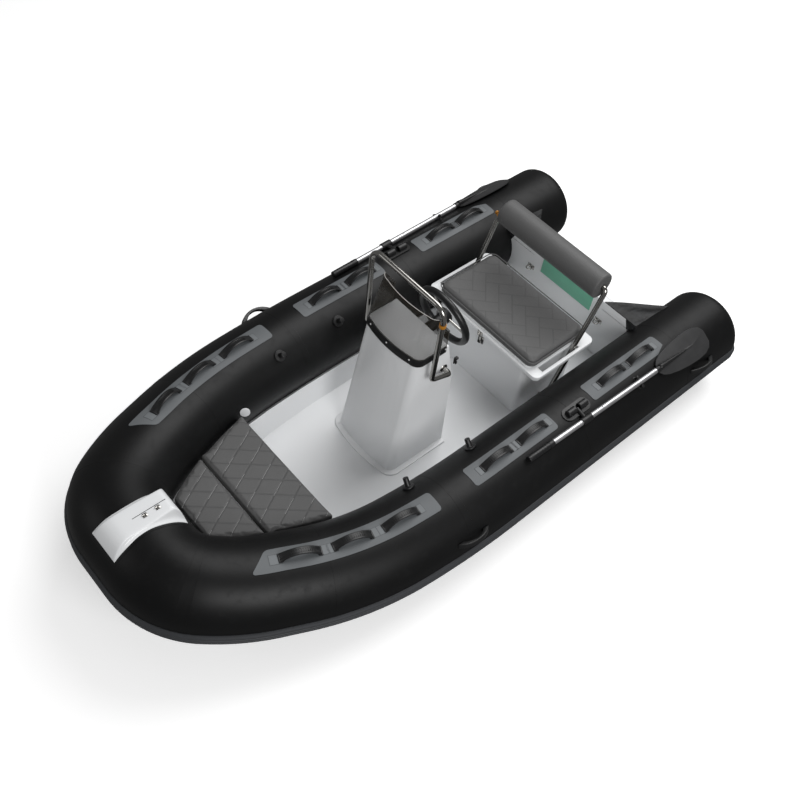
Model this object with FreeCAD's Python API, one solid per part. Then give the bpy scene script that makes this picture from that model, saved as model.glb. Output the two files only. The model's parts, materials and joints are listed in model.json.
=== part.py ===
import FreeCAD, Part
import math
import os
from FreeCAD import Vector

# Rigid inflatable boat with a centre console. Lengths in millimetres, angles in degrees.
# +X runs forward from the aft face of the transom, +Y to port, +Z up from the waterline.

# Buoyancy tube
tube_radius = 210.0
tube_half_spacing = 611.0
tube_centre_height = 250.0
tail_reach = 400.0
tail_dome_length = 100.0
bow_turn_start = 1499.0
bow_run = 1163.0
bow_plan_shares = [(0.0, 1.0), (0.429, 0.925), (0.8186, 0.630), (1.0, 0.3716)]
sheer_rise = 162.0
sheer_start_share = 0.0757
seat_gap = 0.3
join_tolerance = 0.01
bow_samples = 161
tangent_probe = 10.0

# Rubbing strake round the outside of the tube
strake_height = 70.0
strake_proud = 12.0
strake_lip = 16.0
strake_drop = 20.0
strake_gap = 0.7
strake_turn_step = 1.4
strake_back_steps = 6
strake_tail_steps = 22

# Hull
transom_thickness = 45.0
transom_top = 420.0
transom_shoulder_inset = 216.0
transom_edge_inset = 186.0
transom_shoulder_drop = 70.0
keel_depth = 110.0
chine_inset = 111.0
flange_inset = 30.0
flange_thickness = 8.0
stem_reach = 2655.0
hull_stations = [
    # x share of stem reach, keel rise share of keel-to-tube height, chine half share
    (0.0, 0.0, 1.0),
    (0.50, 0.0, 1.0),
    (0.66, 0.03, 0.97),
    (0.78, 0.12, 0.86),
    (0.87, 0.27, 0.68),
    (0.93, 0.47, 0.50),
    (0.97, 0.70, 0.33),
]

# Liner: the deck with its coved sides
deck_height = 50.0
liner_thickness = 6.0
land_inset = 187.0
land_drop = 95.0
land_width = 24.0
cove_run = 26.0
deck_forward = 2230.0
floor_rise_start = 1958.0
floor_rise = 66.0
tub_station_shares = [0.0, 0.55, 0.68, 0.78, 0.87, 0.94, 1.0]

# Bow locker under the cushions
locker_aft = 1922.0
locker_split = 2216.0
locker_nose = 2436.0
locker_top_aft = 286.0
locker_top_fore = 338.0
locker_wall = 18.0
locker_lid_thickness = 14.0
locker_side_gap = 9.0
locker_hatch_margin = 72.0
locker_floor = 10.0
locker_lid_gap = 1.2
locker_outline_steps = 10
locker_corner_share = 0.25
bow_cushion_thickness = 50.0

# Console
console_aft = 1104.0
console_front = 1455.0
console_half = 200.0
console_top_aft = 1112.0
console_top_front = 1354.0
console_top_half = 177.0
console_top_height = 788.0
console_ledge_aft = 1165.0
console_dash_lean = 57.0
console_dash_depth = 246.0
console_corner = 42.0
console_bow = 16.0
console_flange = 26.0
console_flange_thickness = 8.0
screen_thickness = 4.0
screen_height = 228.0
screen_lean = 73.0
screen_band_height = 24.0
screen_aft_height = 60.0
rail_radius = 12.5
rail_bend = 58.0
rail_rise = 348.0
rail_half = 227.0
rail_foot_half = 222.0
rail_foot_drop = 98.0
rail_foot_fall = 45.0
rail_setback = 58.0
rail_foot_run = 118.0
rail_foot_radius = 26.0
clip_radius = 15.5
clip_length = 18.0
clip_drop = 84.0

# Steering
wheel_reach = 81.0
wheel_drop = 55.0
wheel_radius = 165.0
wheel_rim_radius = 13.0
wheel_tilt = 13.0
wheel_hub_radius = 38.0
wheel_hub_depth = 30.0
spoke_width = 24.0
spoke_thickness = 5.0
spoke_count = 3
column_radius = 26.0

# Seat pod and reversible backrest
pod_front = 700.0
pod_aft = 296.0
pod_half = 312.0
pod_wall = 12.0
pod_floor = 10.0
tray_front = 713.0
tray_aft = 280.0
tray_half = 390.0
tray_top = 416.0
tray_thickness = 24.0
tray_corner = 32.0
hatch_margin = 46.0
seat_lid_inset = 10.0
seat_lid_thickness = 12.0
seat_cushion_thickness = 44.0
seat_cushion_half = 335.0
seat_cushion_corner = 40.0
backrest_pivot_x = 515.0
backrest_pivot_height = 82.0
backrest_spread = 354.0
backrest_tube_radius = 12.5
bolster_x = 285.0
bolster_height = 750.0
bolster_radius = 70.0
bolster_half = 330.0
backrest_bend = 22.0
arm_socket_depth = 20.0
slot_half_width = 18.0
slot_clear = 7.0
pivot_pin_radius = 7.0
pin_clearance = 0.4
pivot_head_radius = 12.0
pivot_head_thickness = 4.0

# Grab pads and handles on top of the tube
pad_thickness = 2.5
pad_inner_angle = -13.0
pad_outer_angle = 15.0
pad_spans = [("aft", 63.0, 606.0), ("mid", 858.0, 1391.0), ("forward", 1592.0, 2440.0)]
grab_stations = {"aft": [216.0, 431.0], "mid": [990.0, 1220.0], "forward": [1782.0, 2024.0, 2250.0]}
grab_length = 186.0
grab_height = 40.0
grab_width = 34.0
grab_strap = 6.0
grab_foot = 20.0
pad_step = 52.0
pad_nose_slant = 62.0
pad_chamfer_length = 64.0
pad_chamfer_width = 26.0

# Carry handles on the flank of the tube
carry_stations = [-118.0, 1506.0]
carry_angle = 66.0
carry_length = 180.0
carry_height = 40.0
carry_width = 24.0
carry_bar = 14.0
carry_foot = 34.0

# Air valves
valve_stations = [1245.0, 1627.0]
valve_angle = -39.0
valve_radius = 28.0
valve_thickness = 8.0
valve_cap_radius = 13.0
valve_cap_length = 40.0

# Bow plate on the nose of the tube
bow_plate_aft_reach = 178.0
bow_plate_front_reach = 148.0
bow_plate_half = 88.0
bow_plate_rise = 14.0
bow_plate_lip = 5.0
bow_plate_steps = 16
bow_plate_shares = [
    # share of the length, crest half share, foot half share, share of the rise from skin to flat top
    (0.0, 0.93, 1.0, 0.0),
    (0.09, 0.63, 0.97, 1.0),
    (0.30, 0.65, 0.89, 1.0),
    (0.48, 0.66, 0.81, 1.0),
    (0.66, 0.66, 0.83, 1.0),
    (0.78, 0.66, 0.90, 1.0),
    (1.0, 0.86, 0.93, 0.0),
]
bow_skirt_out_share = 0.34
bow_skirt_down_share = 0.66
bow_slot_setback = 37.0
bow_slot_length = 138.0
bow_slot_width = 3.0
bow_slot_depth = 2.0
bow_tab_setbacks = [81.0, 139.0]
bow_tab_offset = 18.0
bow_tab_length = 20.0
bow_tab_width = 14.0
bow_tab_thickness = 2.5
bow_tab_roll_radius = 3.5

# Transom fittings
clamp_plate_half = 180.0
clamp_plate_drop = 8.0
clamp_plate_height = 112.0
clamp_plate_thickness = 5.0
eye_half = 250.0
eye_drop = 137.0
eye_plate_width = 46.0
eye_plate_height = 26.0
eye_plate_thickness = 3.0
eye_ring_radius = 15.0
eye_wire_radius = 3.5
gusset_tip_reach = 143.0
gusset_run = 237.0
gusset_tube_inset = 156.0
gusset_lift = 1.2
gusset_thickness = 3.0

# Oars in their rowlocks
rowlock_x = 720.0
rowlock_offset = 34.0
rowlock_base_length = 172.0
rowlock_base_width = 68.0
rowlock_base_thickness = 8.0
rowlock_block_radius = 15.0
rowlock_block_length = 52.0
rowlock_block_gap = 24.0
rowlock_arm_radius = 10.0
rowlock_root_lift = 12.0
oar_shaft_radius = 14.0
oar_collar_radius = 19.0
oar_collar_length = 62.0
oar_lines = {
    # reach forward of the rowlock, offset outboard of the tube's axis, height over it: grip, then neck
    "port": ((386.0, 94.5, 207.0), (-529.0, 113.0, 197.0)),
    "starboard": ((370.0, 102.5, 203.0), (-545.0, 134.5, 183.0)),
}
oar_grip_length = 138.0
oar_grip_radius = 16.0
oar_blade_length = 385.0
oar_blade_width = 160.0
oar_blade_thickness = 8.0
oar_blade_drop = 8.0
oar_spine_share = 0.73
oar_spine_tip_radius = 4.5
oar_clip_setback = 385.0
oar_clip_spread = 22.0
oar_clip_foot_radius = 11.0
oar_clip_foot_thickness = 3.0
oar_clip_post_radius = 6.0
oar_clip_post_length = 22.0
oar_clip_head_radius = 8.5
oar_clip_head_length = 6.0

# Latch on the front of the seat
latch_width = 34.0
latch_thickness = 3.0
latch_knob_radius = 7.0
latch_knob_length = 12.0

# Overrun for cuts
over = 20.0

# Places that follow the sizes above
rail_top = console_top_height + rail_rise
rail_foot_height = console_top_height - rail_foot_drop
rail_front = console_top_front - rail_setback
wheel_x = console_aft - wheel_reach
wheel_height = console_top_height - wheel_drop
transom_shoulder_half = tube_half_spacing - transom_shoulder_inset
transom_edge_half = tube_half_spacing - transom_edge_inset
tube_bottom = tube_centre_height - tube_radius
nose_x = bow_turn_start + bow_run
nose_height = tube_centre_height + sheer_rise


def vec(x, y, z):
    return Vector(x, y, z)


def save(name, shape):
    shape.exportStep("parts/" + name + ".step")


def both(shape):
    return [shape, shape.mirror(vec(0, 0, 0), vec(0, 1, 0))]


def group(shapes):
    return Part.makeCompound(shapes)


def poly_wire(points):
    return Part.makePolygon(list(points) + [points[0]])


def outward(shape):
    if shape.Volume < 0:
        shape.reverse()
    return shape


def loft(wires):
    return outward(Part.makeLoft(wires, True, True))


def prism(points, move):
    return outward(Part.Face(poly_wire(points)).extrude(move))


def box(x0, x1, y0, y1, z0, z1):
    return Part.makeBox(x1 - x0, y1 - y0, z1 - z0, vec(x0, y0, z0))


def rod(start, end, radius):
    line = end - start
    return Part.makeCylinder(radius, line.Length, start, line)


# Run of straights and tangent arcs through the corners of a route.
def bent_wire(corners, radii=None):
    edges = []
    last = corners[0]
    count = len(corners)
    for i in range(1, count - 1):
        back = corners[i - 1] - corners[i]
        on = corners[i + 1] - corners[i]
        half_turn = (math.pi - back.getAngle(on)) / 2
        if radii:
            reach = radii[i - 1] * math.tan(half_turn)
        else:
            before = back.Length if i == 1 else back.Length / 2
            after = on.Length if i == count - 2 else on.Length / 2
            reach = min(before, after)
        back.normalize()
        on.normalize()
        start = corners[i] + back * reach
        end = corners[i] + on * reach
        radius = reach / math.tan(half_turn)
        inward = back + on
        inward.normalize()
        depth = math.hypot(radius, reach) - radius
        middle = corners[i] + inward * depth
        if (start - last).Length > join_tolerance:
            edges.append(Part.LineSegment(last, start).toShape())
        edges.append(Part.Arc(start, middle, end).toShape())
        last = end
    if (corners[-1] - last).Length > join_tolerance:
        edges.append(Part.LineSegment(last, corners[-1]).toShape())
    return Part.Wire(edges)


def pipe(wire, radius):
    first = wire.OrderedEdges[0]
    start = first.valueAt(first.FirstParameter)
    along = first.tangentAt(first.FirstParameter)
    ring = Part.Wire(Part.makeCircle(radius, start, along))
    return wire.makePipeShell([ring], True, False)


def mid_height(share):
    run = max(0.0, share - sheer_start_share) / (1 - sheer_start_share)
    return tube_centre_height + sheer_rise * run * run


def tube_corner(share, half_share, side):
    return vec(bow_turn_start + bow_run * share, side * tube_half_spacing * half_share, mid_height(share))


# Corners of the tube's centre line, from the port tail round the bow to the starboard tail.
def tube_corners():
    port = [tube_corner(a, b, 1) for a, b in bow_plan_shares]
    starboard = [tube_corner(a, b, -1) for a, b in reversed(bow_plan_shares)]
    tail = vec(-tail_reach, tube_half_spacing, tube_centre_height)
    tail_starboard = vec(-tail_reach, -tube_half_spacing, tube_centre_height)
    return [tail] + port + starboard + [tail_starboard]


centre_line = bent_wire(tube_corners())
centre_edges = centre_line.OrderedEdges
split_x = centre_edges[1].valueAt(centre_edges[1].FirstParameter).x
bow_edges = centre_edges[1:-1]
bow_line = Part.Wire(bow_edges)
half_points = [p for p in bow_line.discretize(Number=bow_samples) if p.y >= 0]


# Centre of the tube at a station: half spacing and height.
def centre_at(x):
    if x <= half_points[0].x:
        return tube_half_spacing, tube_centre_height
    for a, b in zip(half_points, half_points[1:]):
        if a.x <= x <= b.x:
            t = (x - a.x) / (b.x - a.x)
            return a.y + (b.y - a.y) * t, a.z + (b.z - a.z) * t
    return half_points[-1].y, half_points[-1].z


def tail_dome(side, grow):
    centre = vec(-tail_reach, side * tube_half_spacing, tube_centre_height)
    long = tube_radius + grow
    short = tail_dome_length + grow
    curve = Part.Ellipse(centre + vec(0, long, 0), centre + vec(-short, 0, 0), centre)
    arc = Part.ArcOfEllipse(curve, 0, math.pi / 2).toShape()
    tip = arc.valueAt(arc.LastParameter)
    rim = arc.valueAt(arc.FirstParameter)
    edges = [arc, Part.LineSegment(tip, centre).toShape(), Part.LineSegment(centre, rim).toShape()]
    face = Part.Face(Part.Wire(Part.__sortEdges__(edges)))
    return face.revolve(centre, vec(1, 0, 0), 360)


def side_tube(side, grow=0.0):
    start = vec(-tail_reach, side * tube_half_spacing, tube_centre_height)
    end = vec(split_x, side * tube_half_spacing, tube_centre_height)
    body = rod(start, end, tube_radius + grow)
    return body.fuse(tail_dome(side, grow)).removeSplitter()


def bow_tube(grow=0.0):
    return pipe(bow_line, tube_radius + grow)


tube_cutters = [side_tube(1, seat_gap), side_tube(-1, seat_gap), bow_tube(seat_gap)]


def clear_of_tube(shape):
    for cutter in tube_cutters:
        shape = shape.cut(cutter)
    return shape


# Rub strake: a tapered band lofted round the outside of the tube and over both tails.
def strake_section(point_on):
    top = strake_height / 2 - strake_drop
    inner = [(top - strake_height * i / strake_back_steps, strake_gap, True) for i in range(strake_back_steps + 1)]
    outer = [
        (top - strake_height + strake_lip, strake_proud, False),
        (top - strake_lip, strake_proud, False),
    ]
    return poly_wire([point_on(level, grow, hugging) for level, grow, hugging in inner + outer])


def hug_share(level, hugging):
    return math.sqrt(1 - (level / tube_radius) ** 2) if hugging else 1.0


def flank_section(centre, along):
    across = vec(-along.y, along.x, 0)
    across.normalize()

    def point_on(level, grow, hugging):
        reach = tube_radius * hug_share(level, hugging) + grow
        return centre + across * reach + vec(0, 0, level)
    return strake_section(point_on)


def tail_section(side, angle):
    turn = math.radians(angle)
    centre = vec(-tail_reach, side * tube_half_spacing, tube_centre_height)
    normal = vec(-math.sin(turn) / tail_dome_length, side * math.cos(turn) / tube_radius, 0)
    normal.normalize()

    def point_on(level, grow, hugging):
        share = hug_share(level, hugging)
        along = -tail_dome_length * share * math.sin(turn)
        beside = side * tube_radius * share * math.cos(turn)
        return centre + vec(along, beside, level) + normal * grow
    return strake_section(point_on)


def make_strake():
    tail_angles = [90 * (1 - i / strake_tail_steps) for i in range(strake_tail_steps + 1)]
    wires = [tail_section(1, angle) for angle in tail_angles]
    for edge in centre_edges:
        turn = edge.tangentAt(edge.FirstParameter).getAngle(edge.tangentAt(edge.LastParameter))
        steps = max(1, math.ceil(math.degrees(turn) / strake_turn_step))
        for i in range(1, steps + 1):
            at = edge.FirstParameter + (edge.LastParameter - edge.FirstParameter) * i / steps
            wires.append(flank_section(edge.valueAt(at), edge.tangentAt(at)))
    wires += [tail_section(-1, angle) for angle in reversed(tail_angles[:-1])]
    return loft(wires)


def make_tubes():
    save("tube_port", side_tube(1))
    save("tube_starboard", side_tube(-1))
    save("tube_bow", bow_tube())
    save("rub_strake", make_strake())


# Hull below the tube, lofted through straight-sided sections.
def hull_section(x, keel_share, chine_share):
    spacing, height = centre_at(x)
    bottom = height - tube_radius
    keel = -keel_depth + (bottom + keel_depth) * keel_share
    chine_y = (tube_half_spacing - chine_inset) * chine_share * spacing / tube_half_spacing
    flange_y = spacing - flange_inset
    half = [
        (0, keel),
        (chine_y, bottom - flange_thickness),
        (flange_y, bottom - flange_thickness),
        (flange_y, bottom + flange_thickness),
        (spacing - land_inset, height - land_drop),
    ]
    mirrored = [(-y, z) for y, z in reversed(half[1:])]
    return poly_wire([vec(x, y, z) for y, z in half + mirrored])


def make_hull():
    wires = []
    for share, keel_share, chine_share in hull_stations:
        x = max(share * stem_reach, transom_thickness + seat_gap)
        wires.append(hull_section(x, keel_share, chine_share))
    body = loft(wires)
    body = clear_of_tube(body)
    body = body.cut(tub(0.0, 0.0))
    save("hull", body)
    return body


# Height of the deck: level, then rising under the bow locker.
def floor_at(x):
    return deck_height + floor_rise * max(0.0, x - floor_rise_start) / (deck_forward - floor_rise_start)


# Open tub between the tubes, lofted through sections that widen upwards.
def tub(grow_in, floor_lift):
    top_inset = land_inset + land_width + grow_in
    low_inset = top_inset + cove_run
    aft = transom_thickness + seat_gap
    wires = []
    stations = [aft + (deck_forward - aft) * share for share in tub_station_shares]
    for x in sorted(stations + [floor_rise_start]):
        spacing, height = centre_at(x)
        floor = floor_at(x) - liner_thickness + floor_lift
        rim = height - land_drop + over
        flare = cove_run * over / (height - land_drop - floor)
        low, high = spacing - low_inset, spacing - top_inset + flare
        wires.append(poly_wire([vec(x, low, floor), vec(x, high, rim), vec(x, -high, rim), vec(x, -low, floor)]))
    return loft(wires)


def make_deck():
    outer = tub(seat_gap, seat_gap)
    inner = tub(liner_thickness, liner_thickness)
    deck = outer.cut(inner)
    save("deck", deck)
    return deck


def transom_outline(x):
    flange_y = tube_half_spacing - flange_inset
    half = [
        (0, -keel_depth),
        (tube_half_spacing - chine_inset, tube_bottom - flange_thickness),
        (flange_y, tube_bottom - flange_thickness),
        (flange_y, tube_bottom + flange_thickness),
        (transom_edge_half, transom_top - transom_shoulder_drop),
        (transom_shoulder_half, transom_top),
    ]
    mirrored = [(-y, z) for y, z in reversed(half[1:])]
    return [vec(x, y, z) for y, z in half + mirrored]


def make_transom():
    board = prism(transom_outline(0), vec(transom_thickness, 0, 0))
    save("transom", clear_of_tube(board))


def rounded_outline(x_aft, x_front, half, radius, z):
    r = radius
    k = r * (1 - math.sqrt(0.5))
    pts = [
        (vec(x_aft + r, -half, z), vec(x_front - r, -half, z)),
        (vec(x_front, r - half, z), vec(x_front, half - r, z)),
        (vec(x_front - r, half, z), vec(x_aft + r, half, z)),
        (vec(x_aft, half - r, z), vec(x_aft, r - half, z)),
    ]
    mids = [
        vec(x_front - k, k - half, z),
        vec(x_front - k, half - k, z),
        vec(x_aft + k, half - k, z),
        vec(x_aft + k, k - half, z),
    ]
    edges = []
    for i in range(4):
        edges.append(Part.LineSegment(pts[i][0], pts[i][1]).toShape())
        edges.append(Part.Arc(pts[i][1], mids[i], pts[(i + 1) % 4][0]).toShape())
    return Part.Wire(edges)


def slab(x_aft, x_front, half, radius, z, thickness):
    return Part.Face(rounded_outline(x_aft, x_front, half, radius, z)).extrude(vec(0, 0, thickness))


# Console outline: square aft corners, round front corners and a bowed front.
def console_outline(x_aft, x_front, half, corner, bow, z):
    k = corner * (1 - math.sqrt(0.5))
    port_turn = vec(x_front - corner, half, z)
    port_front = vec(x_front, half - corner, z)
    board_front = vec(x_front, corner - half, z)
    board_turn = vec(x_front - corner, -half, z)
    edges = [
        Part.LineSegment(vec(x_aft, -half, z), board_turn).toShape(),
        Part.Arc(board_turn, vec(x_front - k, k - half, z), board_front).toShape(),
        Part.Arc(board_front, vec(x_front + bow, 0, z), port_front).toShape(),
        Part.Arc(port_front, vec(x_front - k, half - k, z), port_turn).toShape(),
        Part.LineSegment(port_turn, vec(x_aft, half, z)).toShape(),
        Part.LineSegment(vec(x_aft, half, z), vec(x_aft, -half, z)).toShape(),
    ]
    return Part.Wire(edges)


def console_wire(height, grow, aft_grow=0.0):
    t = (height - deck_height) / (console_top_height - deck_height)
    aft = console_aft + (console_top_aft - console_aft) * t - aft_grow
    front = console_front + (console_top_front - console_front) * t + grow
    half = console_half + (console_top_half - console_half) * t + grow
    return console_outline(aft, front, half, console_corner + grow, console_bow, height)


def make_console():
    base = deck_height + seat_gap
    body = loft([console_wire(base, 0), console_wire(console_top_height, 0)])
    reach = console_half + over
    dash_foot = console_ledge_aft - console_dash_lean
    wedge = [
        vec(console_ledge_aft, -reach, console_top_height),
        vec(console_ledge_aft, -reach, console_top_height + over),
        vec(console_aft - over, -reach, console_top_height + over),
        vec(console_aft - over, -reach, console_top_height - console_dash_depth),
        vec(dash_foot, -reach, console_top_height - console_dash_depth),
    ]
    body = body.cut(prism(wedge, vec(0, 2 * reach, 0)))
    flange = Part.Face(console_wire(base, console_flange)).extrude(vec(0, 0, console_flange_thickness))
    body = body.fuse(flange).removeSplitter()
    save("console", body)
    return body


# Windscreen outline: it follows the console's sides up to the top, then leans back.
def screen_outline(height, grow, aft):
    share = (height - deck_height) / (console_top_height - deck_height)
    lean = screen_lean * max(0.0, height - console_top_height) / screen_height
    front = console_front + (console_top_front - console_front) * min(share, 1.0) - lean
    half = console_half + (console_top_half - console_half) * min(share, 1.0)
    return console_outline(aft, front + grow, half + grow, console_corner + grow, console_bow, height)


def make_screen():
    low = console_top_height - screen_band_height
    high = console_top_height + screen_height
    out = screen_thickness + seat_gap
    aft = console_ledge_aft - over
    outer = loft([screen_outline(z, out, console_ledge_aft + over) for z in (low, console_top_height, high)])
    inner = loft([screen_outline(z, seat_gap, aft) for z in (low - over, console_top_height, high + over)])
    shell = outer.cut(inner)
    reach = console_half + over
    edge = console_top_front - screen_lean - over
    top_cut = [
        vec(edge, -reach, high),
        vec(edge, -reach, high + over),
        vec(aft, -reach, high + over),
        vec(aft, -reach, console_top_height + screen_aft_height),
    ]
    save("windscreen", shell.cut(prism(top_cut, vec(0, 2 * reach, 0))))


def make_rail():
    foot_height = rail_foot_height - rail_foot_fall
    share = (foot_height - deck_height) / (console_top_height - deck_height)
    wall = console_half + (console_top_half - console_half) * share
    side = [
        vec(rail_front - rail_foot_run, wall + seat_gap, foot_height),
        vec(rail_front - rail_foot_run, rail_foot_half, foot_height),
        vec(rail_front, rail_foot_half, rail_foot_height),
        vec(rail_front, rail_half, rail_top),
    ]
    other = [vec(p.x, -p.y, p.z) for p in reversed(side)]
    turns = [rail_foot_radius / 2, rail_foot_radius, rail_bend]
    rail = pipe(bent_wire(side + other, turns + list(reversed(turns))), rail_radius)
    save("console_rail", rail)
    leg_share = (rail_top - clip_drop - rail_foot_height) / (rail_top - rail_foot_height)
    save("rail_knob", sleeve(side[2] + (side[3] - side[2]) * leg_share, side[3] - side[2], rail_radius))


# Clip: a short sleeve round a bar
def sleeve(centre, line, bar_radius):
    along = vec(line.x, line.y, line.z)
    along.normalize()
    low = centre - along * (clip_length / 2)
    high = centre + along * (clip_length / 2)
    bore = rod(low - along * over, high + along * over, bar_radius + seat_gap)
    return rod(low, high, clip_radius).cut(bore)


def make_steering(console):
    centre = vec(wheel_x, 0, wheel_height)
    tilt = math.radians(wheel_tilt)
    normal = vec(-math.cos(tilt), 0, math.sin(tilt))
    rim = Part.makeTorus(wheel_radius - wheel_rim_radius, wheel_rim_radius, centre, normal)
    save("wheel_rim", rim)
    hub = Part.makeCylinder(wheel_hub_radius, wheel_hub_depth, centre - normal * (wheel_hub_depth / 2), normal)
    reach = wheel_radius - 2 * wheel_rim_radius - seat_gap
    spokes = hub
    for i in range(spoke_count):
        blade = Part.makeBox(reach, spoke_width, spoke_thickness, vec(0, -spoke_width / 2, -spoke_thickness / 2))
        blade.rotate(vec(0, 0, 0), vec(0, 0, 1), 360 * i / spoke_count + 90)
        blade.Placement = FreeCAD.Placement(centre, FreeCAD.Rotation(vec(0, 0, 1), normal)).multiply(blade.Placement)
        spokes = spokes.fuse(blade)
    save("wheel_spokes", spokes)
    start = centre - normal * (wheel_hub_depth / 2 + seat_gap)
    reach = wheel_reach + console_ledge_aft - console_aft + column_radius
    column = rod(start, start - normal * reach, column_radius).cut(console)
    save("steering_column", max(column.Solids, key=lambda s: s.Volume))


def make_seat():
    deck_seat = deck_height + seat_gap
    tray_low = tray_top - tray_thickness
    pod = slab(pod_aft, pod_front, pod_half, tray_corner, deck_seat, tray_low - deck_seat)
    hatch_aft = pod_aft + hatch_margin
    hatch_front = pod_front - hatch_margin
    hatch_half = pod_half - hatch_margin
    inside = slab(pod_aft + pod_wall, pod_front - pod_wall, pod_half - pod_wall, tray_corner - pod_wall,
                  deck_seat + pod_floor, tray_low)
    tray = slab(tray_aft, tray_front, tray_half, tray_corner, tray_low, tray_thickness)
    hatch = slab(hatch_aft, hatch_front, hatch_half, tray_corner, tray_low - over, tray_thickness + 2 * over)
    arm_lean = (backrest_pivot_x - bolster_x) / (bolster_height - backrest_pivot_height)
    reach = arm_lean * (tray_top - backrest_pivot_height) + backrest_tube_radius + slot_clear
    body = pod.cut(inside).fuse(tray).cut(hatch)
    for side in (1, -1):
        y = side * backrest_spread
        slot = box(backrest_pivot_x - reach, backrest_pivot_x + reach, y - slot_half_width, y + slot_half_width,
                   tray_low - over, tray_top + over)
        body = body.cut(slot)
    save("seat_pod", body.removeSplitter())
    lid = slab(pod_aft + seat_lid_inset, pod_front, seat_cushion_half - seat_lid_inset, seat_cushion_corner,
               tray_top + seat_gap, seat_lid_thickness - seat_gap)
    save("seat_lid", lid)
    cushion = slab(pod_aft + seat_lid_inset, pod_front, seat_cushion_half, seat_cushion_corner,
                   tray_top + seat_lid_thickness + seat_gap, seat_cushion_thickness)
    save("seat_cushion", cushion)


def make_backrest():
    pivot = vec(backrest_pivot_x, backrest_spread, backrest_pivot_height)
    top = vec(bolster_x, backrest_spread, bolster_height)
    end = vec(bolster_x, bolster_half - arm_socket_depth, bolster_height)
    pins = []
    arms = []
    for side in (1, -1):
        corners = [vec(p.x, side * p.y, p.z) for p in (pivot, top, end)]
        arm = pipe(bent_wire(corners, [backrest_bend]), backrest_tube_radius)
        eye = Part.makeCylinder(backrest_tube_radius, 2 * backrest_tube_radius,
                                corners[0] - vec(0, backrest_tube_radius, 0), vec(0, 1, 0))
        start = vec(backrest_pivot_x, side * (pod_half + seat_gap), backrest_pivot_height)
        tip = vec(backrest_pivot_x, side * (backrest_spread + backrest_tube_radius + pin_clearance), pivot.z)
        bore = rod(start, tip + vec(0, side * over, 0), pivot_pin_radius + pin_clearance)
        arms.append(arm.fuse(eye).cut(bore))
        pin = rod(start, tip, pivot_pin_radius)
        head = rod(tip, tip + vec(0, side * pivot_head_thickness, 0), pivot_head_radius)
        pins.append(pin.fuse(head))
    save("backrest_frame", group(arms))
    save("backrest_pins", group(pins))
    bar = rod(vec(bolster_x, -bolster_half, bolster_height), vec(bolster_x, bolster_half, bolster_height),
              bolster_radius)
    for side in (1, -1):
        hole = rod(vec(bolster_x, side * (bolster_half - arm_socket_depth - seat_gap), bolster_height),
                   vec(bolster_x, side * (bolster_half + over), bolster_height), backrest_tube_radius + seat_gap)
        bar = bar.cut(hole)
    save("backrest_bolster", bar)
    reach = vec(bolster_x - backrest_pivot_x, 0, bolster_height - backrest_pivot_height)
    clip_at = vec(bolster_x, -backrest_spread, bolster_height) - reach * ((backrest_bend + clip_length) / reach.Length)
    save("frame_knobs", sleeve(clip_at, reach, backrest_tube_radius))


# Axes on the port tube at a station: centre, forward, outboard and up.
def tube_axes(x):
    y0, z0 = centre_at(x - tangent_probe)
    y1, z1 = centre_at(x + tangent_probe)
    y, z = centre_at(x)
    along = vec(tangent_probe + tangent_probe, y1 - y0, z1 - z0)
    along.normalize()
    across = vec(-along.y, along.x, 0)
    across.normalize()
    up = along.cross(across)
    return vec(x, y, z), along, across, up


# Closed section of a pad: two arcs on the tube's skin joined at their ends.
def pad_section(x):
    centre, _, across, up = tube_axes(x)

    def at(radius, angle):
        t = math.radians(angle)
        return centre + across * (radius * math.sin(t)) + up * (radius * math.cos(t))
    low = tube_radius + seat_gap
    high = low + pad_thickness
    middle = (pad_inner_angle + pad_outer_angle) / 2
    edges = [
        Part.Arc(at(low, pad_inner_angle), at(low, middle), at(low, pad_outer_angle)).toShape(),
        Part.LineSegment(at(low, pad_outer_angle), at(high, pad_outer_angle)).toShape(),
        Part.Arc(at(high, pad_outer_angle), at(high, middle), at(high, pad_inner_angle)).toShape(),
        Part.LineSegment(at(high, pad_inner_angle), at(low, pad_inner_angle)).toShape(),
    ]
    return Part.Wire(edges)


def pad(x_aft, x_front):
    steps = max(1, math.ceil((x_front - max(x_aft, split_x)) / pad_step))
    bend = max(x_aft, min(split_x, x_front))
    stations = [x_aft] if bend > x_aft else []
    stations += [bend + (x_front - bend) * i / steps for i in range(steps + 1) if x_front > bend or i == 0]
    return loft([pad_section(x) for x in stations])


# Point over the port tube's skin at a station and an angle outboard of its top.
def skin_point(x, angle, lift):
    centre, _, across, up = tube_axes(x)
    t = math.radians(angle)
    return centre + (across * math.sin(t) + up * math.cos(t)) * (tube_radius + lift)


# Upright wedge that trims a corner of a pad, beyond the line from one point to another.
def trim(start, end, beyond):
    points = [vec(p.x, p.y, 0) for p in (start, end, beyond)]
    return prism(points, vec(0, 0, nose_height + tube_radius + over))


# The forward pad's nose is slanted, and the aft pad's outboard corner is cut off.
def trimmed_pad(where, x_aft, x_front):
    body = pad(x_aft, x_front)
    if where == "forward":
        inner = skin_point(x_front - pad_nose_slant, pad_inner_angle, 0)
        outer = skin_point(x_front, pad_outer_angle, 0)
        line = outer - inner
        body = body.cut(trim(inner - line, outer + line, vec(x_front + line.Length, inner.y, 0)))
    if where == "aft":
        outer = skin_point(x_aft, pad_outer_angle, pad_thickness)
        start = vec(x_aft, outer.y - pad_chamfer_width, 0)
        end = vec(x_aft + pad_chamfer_length, outer.y, 0)
        line = end - start
        body = body.cut(trim(start - line, end + line, vec(x_aft - over, outer.y + over, 0)))
    return max(body.Solids, key=lambda s: s.Volume)


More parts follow.
